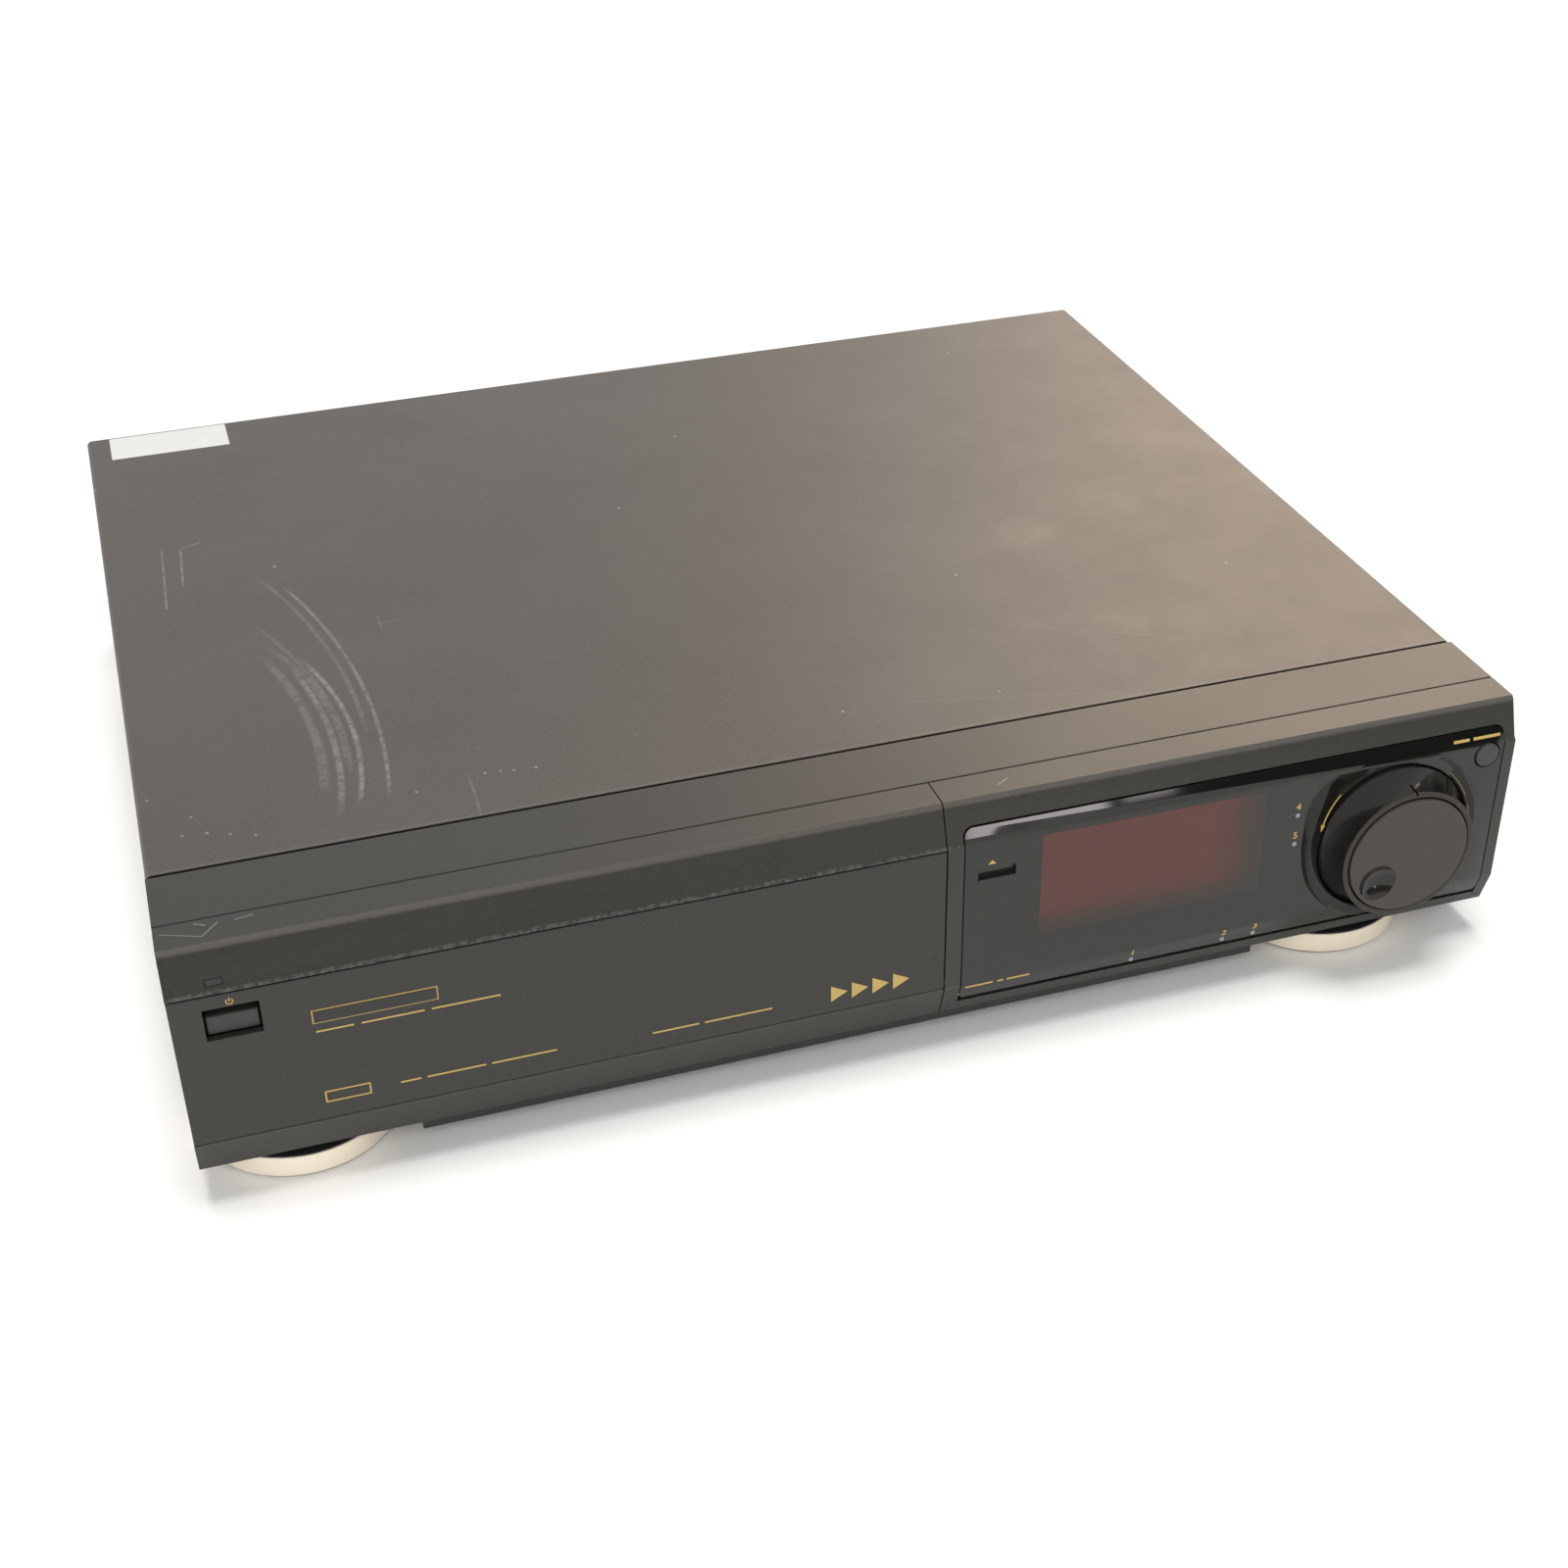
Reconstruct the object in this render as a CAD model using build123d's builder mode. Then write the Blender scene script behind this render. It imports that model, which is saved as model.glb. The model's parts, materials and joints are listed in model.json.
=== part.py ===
from build123d import *
import math
import os

# Front-loading video cassette recorder, in millimetres.
# Frame: +X right, +Y back, +Z up, seen from the front. The origin is at floor level,
# under the middle of the whole object's length and depth.
# Most places are given as a depth behind the top front edge and a drop below the top,
# because that is how the front is laid out. back() and down() turn them into Y and Z.

# Case
CASE_WIDTH = 430.0
CASE_DEPTH = 362.0
FACE_HEIGHT = 79.0
SHEET = 1.2                 # steel of the cover, the pan and the rear panel
WALL = 2.5                  # plastic of the front
SEAM = 0.4                  # gap between front pieces
SWING_GAP = 0.8             # gap under the control door, for its swing
FIT = 0.3                   # gap between faces of two bodies
RUNNING = 0.05              # radial clearance of a shaft in its hole
COVER_EDGE = 2.0            # radius of the cover's long edges

# Front profile: the sloped band, the crease, the upright face and the sloped strip
BAND_DROP = 14.0
BAND_REACH = 5.0
BAND_LIP = 1.0
FACE_END = 67.0
STRIP_REACH = 1.0
EDGE_CHAMFER = 0.9
BAND_BACK = 13.0            # depth of the seam behind the band
RAIL_BACK = 38.0            # depth of the seam in front of the cover
COVER_GAP = 1.0
SPLIT_X = 18.2              # seam between the left and right halves
CHEEK = 1.3                 # left end of the frame round the flap

# Flap over the cassette slot and its power button
BEAD_RADIUS = 1.8
HINGE_PIN_RADIUS = 0.9
HINGE_PIN_GRIP = 4.0
BUTTON_INSET = 17.4         # left end of the case to the button's middle
BUTTON_HOLE = (16.0, 11.0)
BUTTON_HOLE_TOP = 18.8
BUTTON_CAP = (15.2, 6.6)
BUTTON_CAP_TOP = 22.7
BUTTON_STEM = (11.2, 4.6)
BUTTON_SUNK = 2.0
BUTTON_TRAVEL = 2.0
LENS_SIZE = (4.3, 1.5)
LENS_TOP = 10.0

# Control door and its window
STILE_LEFT = 5.8
STILE_RIGHT = 4.2
DOOR_TOP = 8.4
DOOR_TANGENT = 73.0         # drop at which the sloped face meets the hinge bead
DOOR_CORNER = 3.0
WINDOW_HEIGHT = 38.0
WINDOW_OFFSET = 25.5        # from the door's left edge
WINDOW_GAP = 14.6           # between the window and the mound
WINDOW_TOP = 15.0
NOTCH_SIZE = (12.5, 3.6)
NOTCH_OFFSET = 4.4
NOTCH_TOP = 23.4
NOTCH_SUNK = 1.5
NOTCH_LIP = 1.3
INDICATOR_RADIUS = 0.8
INDICATOR_DEPTH = 2.3
INDICATOR_PROUD = 0.2
# Indicators below the window, as offsets from the door's left edge and drops
LOWER_INDICATORS = [(59.6, 72.0), (92.1, 71.5), (103.3, 71.5)]
SIDE_INDICATOR_REACH = 34.8  # left of the dial's axis
SIDE_INDICATOR_DROPS = (26.6, 37.6)

# Jog dial and shuttle ring
DIAL_FROM_RIGHT = 42.4      # right end of the case to the dial's axis
DIAL_DROP = 41.5
DIAL_RADIUS = 21.0
DIAL_REACH = 17.8           # forward of the top front edge
DIAL_THICKNESS = 7.3
DIMPLE_RADIUS = 6.6
DIMPLE_DEPTH = 3.0
DIMPLE_PLACE = (-10.2, -8.6)
RING_RIM_RADIUS = 23.3
RING_WAIST_RADIUS = 23.9
RING_BACK_RADIUS = 26.2
RING_REACH = 17.2
LIP_ROUND = 0.25            # edges beside the gap between the dial and the ring
RING_BACK = 3.0
RING_WEB = 3.0
RING_GAP = 0.5              # between the dial and the ring
RING_NOTCH = 1.2
BOSS_RADIUS = 4.9
DIAL_SHAFT_RADIUS = 3.0
MOUND_RADIUS = 31.5
MOUND_RISE = 2.4
MOUND_HOLE_RADIUS = 26.8
MOUND_FLANK = 2.0           # width of the mound's sloped side
MOUND_CORNER = 16.0         # radius of its upper left corner
MOUND_CLEAR = 1.2           # end of the mound above the door's hinge
LUG_RISE = 3.0              # hinge lugs above the door's axis
MODE_FROM_RIGHT = 10.0
MODE_DROP = 17.4
MODE_RADIUS = 4.2
MODE_PROUD = 0.4
MODE_GAP = 0.5              # round the button, in the door
MODE_STEM_RADIUS = 2.0
STEM_LOOSE = 0.2

# Behind the control door
BOARD_DEPTH = 26.0          # front board, behind the top front edge
BOARD_SHEET = 1.6
KEY_COUNT = 4
KEY_PITCH = 18.0
KEY_SIZE = (12.0, 6.0)
KEY_DROP = 62.0
KEY_OFFSET = 28.0           # door's left edge to the first key's middle
KEY_PROUD = 4.0
KEY_FLANGE = 1.2            # thickness of the flange behind the bulkhead
KEY_FLANGE_REACH = 1.0
SLIDER_OFFSET = 13.0
SLIDER_DROPS = (42.0, 54.0)
SLIDER_TRAVEL = 5.0
SLIDER_STEM = (3.0, 2.0)
LATCH_OFFSET = 10.6
LATCH_DROP = 25.2
LATCH_RADIUS = 2.2
LATCH_TRAVEL = 2.0

# Bottom pan and feet
SKIRT_LEFT = 148.2
SKIRT_RIGHT = 130.5
SKIRT_FRONT = 2.0
SKIRT_DEEP = 4.0
PAN_FLANGE = 20.0
FOOT_RADIUS = 30.7
FOOT_LEFT = 182.5           # left of the middle
FOOT_RIGHT = 166.6
FOOT_FRONT = 30.0
FOOT_REAR = 322.0
FOOT_CORE_RADIUS = 27.4
FOOT_NECK_RADIUS = 22.0
FOOT_NECK = 2.3
FOOT_RING = 7.7
FOOT_PAD = 0.8

# Cassette bay
CASSETTE = (188.0, 104.0, 25.0)
CASSETTE_ROOM = 1.0         # each side of the cassette in its holder
SLOT_FROM_SPLIT = 103.2
SLOT_TOP = 19.0
SLOT_END = 49.0
HOLDER_SHEET = 1.2
HOLDER_FRONT = 24.0
HOLDER_TOP = 19.5
LEDGE = 10.0
PLATE_FRONT = 22.0
PLATE_REAR = 176.0
PLATE_TOP = 14.0
CROSS_BAR = 8.0
CARRIAGE_TRAVEL = 40.0
HOLDER_TRAVEL = 12.0

# Tape deck
DECK_DROP = 62.0
DECK_SHEET = 1.6
DECK_FRONT = 22.0
DECK_REAR = 262.0
DECK_HALF = 104.0
DECK_MARGIN = 1.0           # deck plate beyond its posts
POST_RADIUS = 4.0
DRUM_RADIUS = 31.0
DRUM_DEPTH = 213.0
DRUM_SPLIT_DROP = 47.5
DRUM_TILT = 5.96
UPPER_DRUM = 16.0
DRUM_SHAFT_RADIUS = 3.0
DRUM_SHAFT_SUNK = 1.0
REEL_SPACING = 92.0
REEL_DEPTH = 112.0
REEL_RADIUS = 15.0
REEL_HUB_RADIUS = 6.0
REEL_SHAFT_RADIUS = 2.0
REEL_TOP = 49.0
REEL_TABLE = 3.0
CAPSTAN_OFFSET = 62.0
CAPSTAN_DEPTH = 184.0
CAPSTAN_RADIUS = 2.0
CAPSTAN_TOP = 38.0
FLYWHEEL_RADIUS = 21.0
FLYWHEEL_THICKNESS = 8.0
FLYWHEEL_GAP = 3.0
ARM_PIVOT = (90.0, 196.0)   # from the slot's middle, and depth
ARM_LENGTH = 22.56
ARM_REST_ANGLE = 237.1
ARM_THICKNESS = 3.0
ARM_DROP = 53.0
ROLLER_RADIUS = 7.0
ROLLER_HEIGHT = 14.0
GUIDE_OFFSET = 39.0
GUIDE_DEPTH = 150.0
GUIDE_TRAVEL = 55.0
GUIDE_STEM_RADIUS = 2.0
GUIDE_POST_RADIUS = 3.0
GUIDE_BASE = (12.0, 16.0, 5.0)
GUIDE_TOP = 40.0
GUIDE_STEM_END = 2.0        # stem below the deck plate
MOTOR_RADIUS = 12.0
MOTOR_LENGTH = 34.0
MOTOR_DEPTH = 242.0
MOTOR_LIFT = 1.0            # motor's can above the deck plate
MOTOR_BRACKET = 26.0
BUSH_RADIUS = 5.0
BUSH_HEIGHT = 8.0
HEAD_SIZE = (8.0, 8.0, 18.0)
ERASE_PLACE = (-58.0, 190.0)
AUDIO_PLACE = (51.5, 195.0)

# Electronics and rear panel
REAR_INSET = 3.0
REAR_REACH = 6.0            # sockets behind the case
MAIN_BOARD_LIFT = 4.0
BOARD_FRONT = 60.0
MAIN_BOARD_LEFT = 13.0      # from the seam between the halves
MAIN_BOARD_RIGHT = 10.0     # from the right end
CAPACITOR_COUNT = 9
CAPACITOR_COLUMNS = 3
CAPACITOR_STEP = 4.0        # each column shorter than the last
CAPACITOR_PITCH = 22.0
CAPACITOR_HEIGHT = 30.0
CAPACITOR_RADIUS = 7.0
SINK_DEPTH = 200.0
SINK_LENGTH = 50.0
SINK_HEIGHT = 34.0
SINK_FINS = 9
SINK_FIN_REACH = 12.5
CORE_DEPTH = 282.0
CORE_SIZE = (56.0, 44.0, 44.0)
CORE_INSET = 10.0           # from the left end
WINDING = (28.0, 54.0, 22.0)
INLET_INSET = 32.0
INLET_DROP = 60.0
INLET_SIZE = (24.0, 16.0)
INLET_RECESS = (16.0, 9.0)
INLET_DEEP = 12.0
INLET_PIN_PITCH = 8.6
SCART_X = -40.0
SCART_DROP = 30.0
SCART_PITCH = 24.0
SCART_SIZE = (48.0, 16.0)
SCART_RECESS = (43.0, 10.6)
SCART_DEEP = 9.0
SOCKET_PROUD = 1.0
SOCKET_FLANGE = 3.5
PHONO_RADIUS = 4.15
PHONO_BORE = 1.7
PHONO_LENGTH = 8.0
PHONO_BODY = 13.0
PHONO_INSET = 165.0
PHONO_DROP = 32.0
PHONO_PITCH = 17.0
PHONO_GRID = (3, 2)
NECK_RADIUS = 3.0
CONTACT_RADIUS = 1.2
AERIAL_RADIUS = 4.75
AERIAL_BORE = 3.9
AERIAL_DROP = 28.0
AERIAL_PITCH = 24.0
TUNER_INSET = 18.0
TUNER_SIZE = (48.0, 62.0)
TUNER_TOP = 14.0
SCREW_HEAD_RADIUS = 3.5
SCREW_HEAD = 1.6
SCREW_RADIUS = 1.5
SCREW_CROSS = (4.2, 1.0)    # length and width of the cross recess
SCREW_LENGTH = 6.0
SCREW_DEPTHS = (80.0, 290.0)
VENT_WIDTH = 4.0
VENT_LENGTH = 26.0
VENT_PITCH = 9.0
VENT_COUNT = 9
VENT_ROWS = (2, 36.4)       # rows under the deck and their pitch
VENT_DEPTH = 217.0
REAR_VENT_INSET = 70.0
REAR_VENT_TOP = 14.0

# Worked out from the sizes above
LEFT = -CASE_WIDTH / 2
RIGHT = CASE_WIDTH / 2
TOTAL_HEIGHT = FACE_HEIGHT + SHEET + FOOT_NECK + FOOT_RING + FOOT_PAD
MID_DEPTH = (CASE_DEPTH + REAR_REACH - DIAL_REACH) / 2
SLOT_X = SPLIT_X - SLOT_FROM_SPLIT
DOOR_LEFT = SPLIT_X + STILE_LEFT
DOOR_RIGHT = RIGHT - STILE_RIGHT
DIAL_X = RIGHT - DIAL_FROM_RIGHT
MODE_X = RIGHT - MODE_FROM_RIGHT
COVER_FRONT = RAIL_BACK + COVER_GAP
BULKHEAD = BAND_BACK + WALL
DECK_UNDER = DECK_DROP + DECK_SHEET
REAR_FACE = CASE_DEPTH - REAR_INSET
PAN_BOTTOM = FACE_HEIGHT + SHEET
BOARD_TOP = FACE_HEIGHT - MAIN_BOARD_LIFT - BOARD_SHEET


def back(depth):
    """Y of a depth behind the top front edge."""
    return depth - MID_DEPTH


def down(drop):
    """Z of a drop below the top."""
    return TOTAL_HEIGHT - drop


def slope_depth(drop):
    """Depth of the front face at a drop."""
    if drop < BAND_DROP:
        return -BAND_REACH * drop / BAND_DROP
    if drop < FACE_END:
        return -BAND_REACH
    share = (drop - FACE_END) / (FACE_HEIGHT - FACE_END)
    return -BAND_REACH + share * (BAND_REACH - STRIP_REACH)


def block(xs, depths, drops, mode=Mode.ADD):
    """A box from a pair of X values, a pair of depths and a pair of drops."""
    with Locations((sum(xs) / 2, back(sum(depths) / 2), down(sum(drops) / 2))):
        Box(abs(xs[1] - xs[0]), abs(depths[1] - depths[0]), abs(drops[1] - drops[0]), mode=mode)


def upright(x, a, b0, b1, radius, mode=Mode.ADD):
    """An upright cylinder between two drops."""
    with Locations((x, back(a), down((b0 + b1) / 2))):
        Cylinder(radius, abs(b1 - b0), mode=mode)


def along_depth(x, b, a0, a1, radius, mode=Mode.ADD):
    """A cylinder along Y between two depths."""
    with Locations(Location((x, back((a0 + a1) / 2), down(b)), (90, 0, 0))):
        Cylinder(radius, abs(a1 - a0), mode=mode)


def along_width(a, b, x0, x1, radius, mode=Mode.ADD):
    """A cylinder along X between two X values."""
    with Locations(Location(((x0 + x1) / 2, back(a), down(b)), (0, 90, 0))):
        Cylinder(radius, abs(x1 - x0), mode=mode)


def bar(points, x0, x1, mode=Mode.ADD):
    """A closed outline of (depth, drop) points, extruded along X."""
    with BuildSketch(Plane.YZ.offset(x0)) as outline:
        with BuildLine():
            Polyline(*[(back(a), down(b)) for a, b in points], close=True)
        make_face()
    extrude(outline.sketch, amount=x1 - x0, mode=mode)


def rounded_window(x0, x1, b0, b1, radius, mode):
    """A prism along Y with rounded corners, through the whole front."""
    middle = ((x0 + x1) / 2, back(0), down((b0 + b1) / 2))
    with BuildSketch(Plane(origin=middle, x_dir=(1, 0, 0), z_dir=(0, -1, 0))) as outline:
        RectangleRounded(x1 - x0, b1 - b0, radius)
    extrude(outline.sketch, amount=BAND_BACK - SEAM, both=True, mode=mode)


def save(piece, label):
    """Names a finished piece and writes its file."""
    piece.part.label = label
    export_step(piece.part, f"parts/{label}.step")


os.makedirs("parts", exist_ok=True)

# Hinge axes as (depth, drop), both inside the rounded bottom edge of their door
strip_length = math.hypot(BAND_REACH - STRIP_REACH, FACE_HEIGHT - FACE_END)
inward = (
    (FACE_HEIGHT - FACE_END) / strip_length,
    -(BAND_REACH - STRIP_REACH) / strip_length,
)
flap_axis = (-BAND_REACH + BEAD_RADIUS, FACE_END - SEAM / 2 - BEAD_RADIUS)
door_axis = (
    slope_depth(DOOR_TANGENT) + BEAD_RADIUS * inward[0],
    DOOR_TANGENT + BEAD_RADIUS * inward[1],
)
door_bottom = door_axis[1] + BEAD_RADIUS

# Outlines of the front, as (depth, drop)
band_outer = [
    (BAND_BACK - SEAM, 0),
    (EDGE_CHAMFER, 0),
    (0, EDGE_CHAMFER),
    (-BAND_REACH + BAND_LIP, BAND_DROP - SEAM / 2 - BAND_LIP),
    (-BAND_REACH, BAND_DROP - SEAM / 2),
]
front_outer = band_outer + [
    (-BAND_REACH, FACE_END),
    (-STRIP_REACH, FACE_HEIGHT),
]
front_inner = [
    (BAND_BACK, FACE_HEIGHT),
    (BAND_BACK, FACE_HEIGHT - WALL),
    (WALL - STRIP_REACH + SEAM, FACE_HEIGHT - WALL),
    (WALL - BAND_REACH, FACE_END),
    (WALL - BAND_REACH, BAND_DROP + SEAM),
    (WALL - SEAM, WALL),
    (BAND_BACK, WALL),
    (BAND_BACK, SEAM),
]
front_shell = front_outer + front_inner
front_solid = front_outer + [(BAND_BACK, FACE_HEIGHT), (BAND_BACK, SEAM)]
power_lens_x = LEFT + BUTTON_INSET - BUTTON_CAP[0] / 2 + LENS_SIZE[0]

# Front mouldings round the flap and round the control door
with BuildPart() as left_surround:
    bar(front_shell, LEFT, SPLIT_X - SEAM / 2)
    bar(front_solid, LEFT, LEFT + CHEEK)
    block(
        (LEFT + CHEEK, SPLIT_X),
        (-BAND_REACH - SEAM, WALL + SEAM),
        (BAND_DROP - SEAM / 2, FACE_END + SEAM / 2),
        mode=Mode.SUBTRACT,
    )
    along_width(*flap_axis, LEFT - SEAM, LEFT + WALL, HINGE_PIN_RADIUS, mode=Mode.SUBTRACT)
    block(
        (power_lens_x - LENS_SIZE[0] / 2, power_lens_x + LENS_SIZE[0] / 2),
        (-BAND_REACH, WALL),
        (LENS_TOP, LENS_TOP + LENS_SIZE[1]),
        mode=Mode.SUBTRACT,
    )
save(left_surround, "left_surround")

with BuildPart() as power_lens:
    bar(front_shell, power_lens_x - LENS_SIZE[0] / 2, power_lens_x + LENS_SIZE[0] / 2)
    block(
        (power_lens_x - LENS_SIZE[0], power_lens_x + LENS_SIZE[0]),
        (-BAND_REACH, WALL),
        (LENS_TOP, LENS_TOP + LENS_SIZE[1]),
        mode=Mode.INTERSECT,
    )
save(power_lens, "power_lens")

lug_left = (DOOR_LEFT - STILE_LEFT + WALL, DOOR_LEFT - FIT)
lug_right = (DOOR_RIGHT + FIT, RIGHT - WALL)
with BuildPart() as right_surround:
    bar(front_shell, SPLIT_X + SEAM / 2, RIGHT)
    bar(front_solid, SPLIT_X + SEAM / 2, SPLIT_X + SEAM / 2 + WALL)
    bar(front_solid, RIGHT - WALL, RIGHT)
    rounded_window(
        DOOR_LEFT - SEAM,
        DOOR_RIGHT + SEAM,
        DOOR_TOP - SEAM,
        door_bottom + SWING_GAP,
        DOOR_CORNER + SEAM,
        Mode.SUBTRACT,
    )
    # the rounded sheet ends at the axis, so the swung door's full width clears it
    block(
        (DOOR_LEFT - SEAM, DOOR_RIGHT + SEAM),
        (-BAND_REACH, BAND_BACK),
        (door_axis[1], door_bottom + SWING_GAP),
        mode=Mode.SUBTRACT,
    )
    for x0, x1 in (lug_left, lug_right):
        block(
            (x0, x1),
            (door_axis[0] - BEAD_RADIUS / 2, BAND_BACK),
            (door_axis[1] - LUG_RISE, FACE_HEIGHT - WALL),
        )
        along_width(*door_axis, x0 - WALL, x1 + WALL, HINGE_PIN_RADIUS, mode=Mode.SUBTRACT)
    along_width(*flap_axis, SPLIT_X, SPLIT_X + WALL, HINGE_PIN_RADIUS, mode=Mode.SUBTRACT)
save(right_surround, "right_surround")

# Fascia frame: rail along the top, ends, bulkhead with its openings, and the foot of the front
power_x = LEFT + BUTTON_INSET
power_drop = BUTTON_CAP_TOP + BUTTON_CAP[1] / 2
window_left = DOOR_LEFT + WINDOW_OFFSET
window_right = DIAL_X - MOUND_RADIUS - WINDOW_GAP
window_end = WINDOW_TOP + WINDOW_HEIGHT
indicator_places = [(DOOR_LEFT + offset, drop) for offset, drop in LOWER_INDICATORS]
indicator_places += [(DIAL_X - SIDE_INDICATOR_REACH, drop) for drop in SIDE_INDICATOR_DROPS]
slider_x = DOOR_LEFT + SLIDER_OFFSET
latch_x = DOOR_LEFT + LATCH_OFFSET
key_places = [DOOR_LEFT + KEY_OFFSET + KEY_PITCH * count for count in range(KEY_COUNT)]
slot_half = CASSETTE[0] / 2 + CASSETTE_ROOM + HOLDER_SHEET + FIT
rebate = SHEET + FIT
with BuildPart() as fascia_frame:
    block((LEFT, RIGHT), (BAND_BACK, RAIL_BACK), (0, FACE_HEIGHT))
    block(
        (LEFT + WALL, RIGHT - WALL),
        (BULKHEAD, RAIL_BACK),
        (WALL, FACE_HEIGHT - WALL),
        mode=Mode.SUBTRACT,
    )
    top_front = fascia_frame.edges().filter_by(Axis.X).group_by(Axis.Y)[0].sort_by(Axis.Z)[-1]
    chamfer(top_front, SEAM)
    block((LEFT + rebate, RIGHT - rebate), (RAIL_BACK, COVER_FRONT + WALL), (rebate, rebate + WALL))
    for x0, x1 in ((LEFT + rebate, LEFT + rebate + WALL), (RIGHT - rebate - WALL, RIGHT - rebate)):
        block(
            (x0, x1),
            (RAIL_BACK - WALL, COVER_FRONT + WALL),
            (rebate, FACE_HEIGHT - PAN_FLANGE - FIT),
        )
    block(
        (SLOT_X - slot_half, SLOT_X + slot_half),
        (BAND_BACK, BULKHEAD),
        (SLOT_TOP, SLOT_END),
        mode=Mode.SUBTRACT,
    )
    block(
        (power_x - BUTTON_STEM[0] / 2 - STEM_LOOSE, power_x + BUTTON_STEM[0] / 2 + STEM_LOOSE),
        (BAND_BACK, BULKHEAD),
        (power_drop - BUTTON_STEM[1] / 2 - STEM_LOOSE, power_drop + BUTTON_STEM[1] / 2 + STEM_LOOSE),
        mode=Mode.SUBTRACT,
    )
    block(
        (window_left, window_right),
        (BAND_BACK, BULKHEAD),
        (WINDOW_TOP + WALL, window_end),
        mode=Mode.SUBTRACT,
    )
    for key_x in key_places:
        block(
            (key_x - KEY_SIZE[0] / 2 - FIT, key_x + KEY_SIZE[0] / 2 + FIT),
            (BAND_BACK, BULKHEAD),
            (KEY_DROP - KEY_SIZE[1] / 2 - FIT, KEY_DROP + KEY_SIZE[1] / 2 + FIT),
            mode=Mode.SUBTRACT,
        )
    for slider_drop in SLIDER_DROPS:
        half = SLIDER_TRAVEL + SLIDER_STEM[0] / 2 + FIT
        block(
            (slider_x - half, slider_x + half),
            (BAND_BACK, BULKHEAD),
            (slider_drop - SLIDER_STEM[1] / 2 - FIT, slider_drop + SLIDER_STEM[1] / 2 + FIT),
            mode=Mode.SUBTRACT,
        )
    along_depth(latch_x, LATCH_DROP, BAND_BACK, BULKHEAD, LATCH_RADIUS + STEM_LOOSE, mode=Mode.SUBTRACT)
    along_depth(MODE_X, MODE_DROP, BAND_BACK, BULKHEAD, MODE_STEM_RADIUS + STEM_LOOSE, mode=Mode.SUBTRACT)
    along_depth(DIAL_X, DIAL_DROP, BAND_BACK, BULKHEAD, DIAL_SHAFT_RADIUS + WALL, mode=Mode.SUBTRACT)
    for boss_x in (DOOR_LEFT + WALL, DOOR_RIGHT - WALL):
        for boss_drop in (WALL * 3, FACE_HEIGHT - WALL * 3):
            along_depth(boss_x, boss_drop, BULKHEAD, BOARD_DEPTH, POST_RADIUS / 2)
save(fascia_frame, "fascia_frame")

# Cassette flap, with the cut-out that clears the power button
flap_left = LEFT + CHEEK + FIT
flap_right = SPLIT_X - FIT
flap_outline = [
    (-BAND_REACH, BAND_DROP + SEAM / 2),
    (-BAND_REACH, flap_axis[1]),
    flap_axis,
    (WALL - BAND_REACH, flap_axis[1] - BEAD_RADIUS / 2),
    (WALL - BAND_REACH, BAND_DROP + SEAM / 2),
]
with BuildPart() as cassette_flap:
    bar(flap_outline, flap_left, flap_right)
    along_width(*flap_axis, flap_left, flap_right, BEAD_RADIUS)
    block(
        (power_x - BUTTON_HOLE[0] / 2, power_x + BUTTON_HOLE[0] / 2),
        (-BAND_REACH, WALL - BAND_REACH),
        (BUTTON_HOLE_TOP, BUTTON_HOLE_TOP + BUTTON_HOLE[1]),
        mode=Mode.SUBTRACT,
    )
    pin_hole = HINGE_PIN_RADIUS + RUNNING
    along_width(*flap_axis, flap_left, flap_left + HINGE_PIN_GRIP + FIT, pin_hole, mode=Mode.SUBTRACT)
    along_width(*flap_axis, flap_right - HINGE_PIN_GRIP - FIT, flap_right, pin_hole, mode=Mode.SUBTRACT)
save(cassette_flap, "cassette_flap")

with BuildPart() as flap_hinge_pins:
    along_width(*flap_axis, LEFT, flap_left + HINGE_PIN_GRIP, HINGE_PIN_RADIUS)
    along_width(*flap_axis, flap_right - HINGE_PIN_GRIP, SPLIT_X + WALL, HINGE_PIN_RADIUS)
save(flap_hinge_pins, "flap_hinge_pins")

with BuildPart() as power_button:
    cap_front = BUTTON_SUNK - BAND_REACH
    block(
        (power_x - BUTTON_CAP[0] / 2, power_x + BUTTON_CAP[0] / 2),
        (cap_front, BAND_BACK - BUTTON_TRAVEL - FIT),
        (BUTTON_CAP_TOP, BUTTON_CAP_TOP + BUTTON_CAP[1]),
    )
    front_edges = power_button.faces().sort_by(Axis.Y)[0].edges()
    chamfer(front_edges, SEAM)
    block(
        (power_x - BUTTON_STEM[0] / 2, power_x + BUTTON_STEM[0] / 2),
        (BAND_BACK - BUTTON_TRAVEL - FIT, BULKHEAD + BUTTON_TRAVEL),
        (power_drop - BUTTON_STEM[1] / 2, power_drop + BUTTON_STEM[1] / 2),
    )
save(power_button, "power_button")

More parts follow.
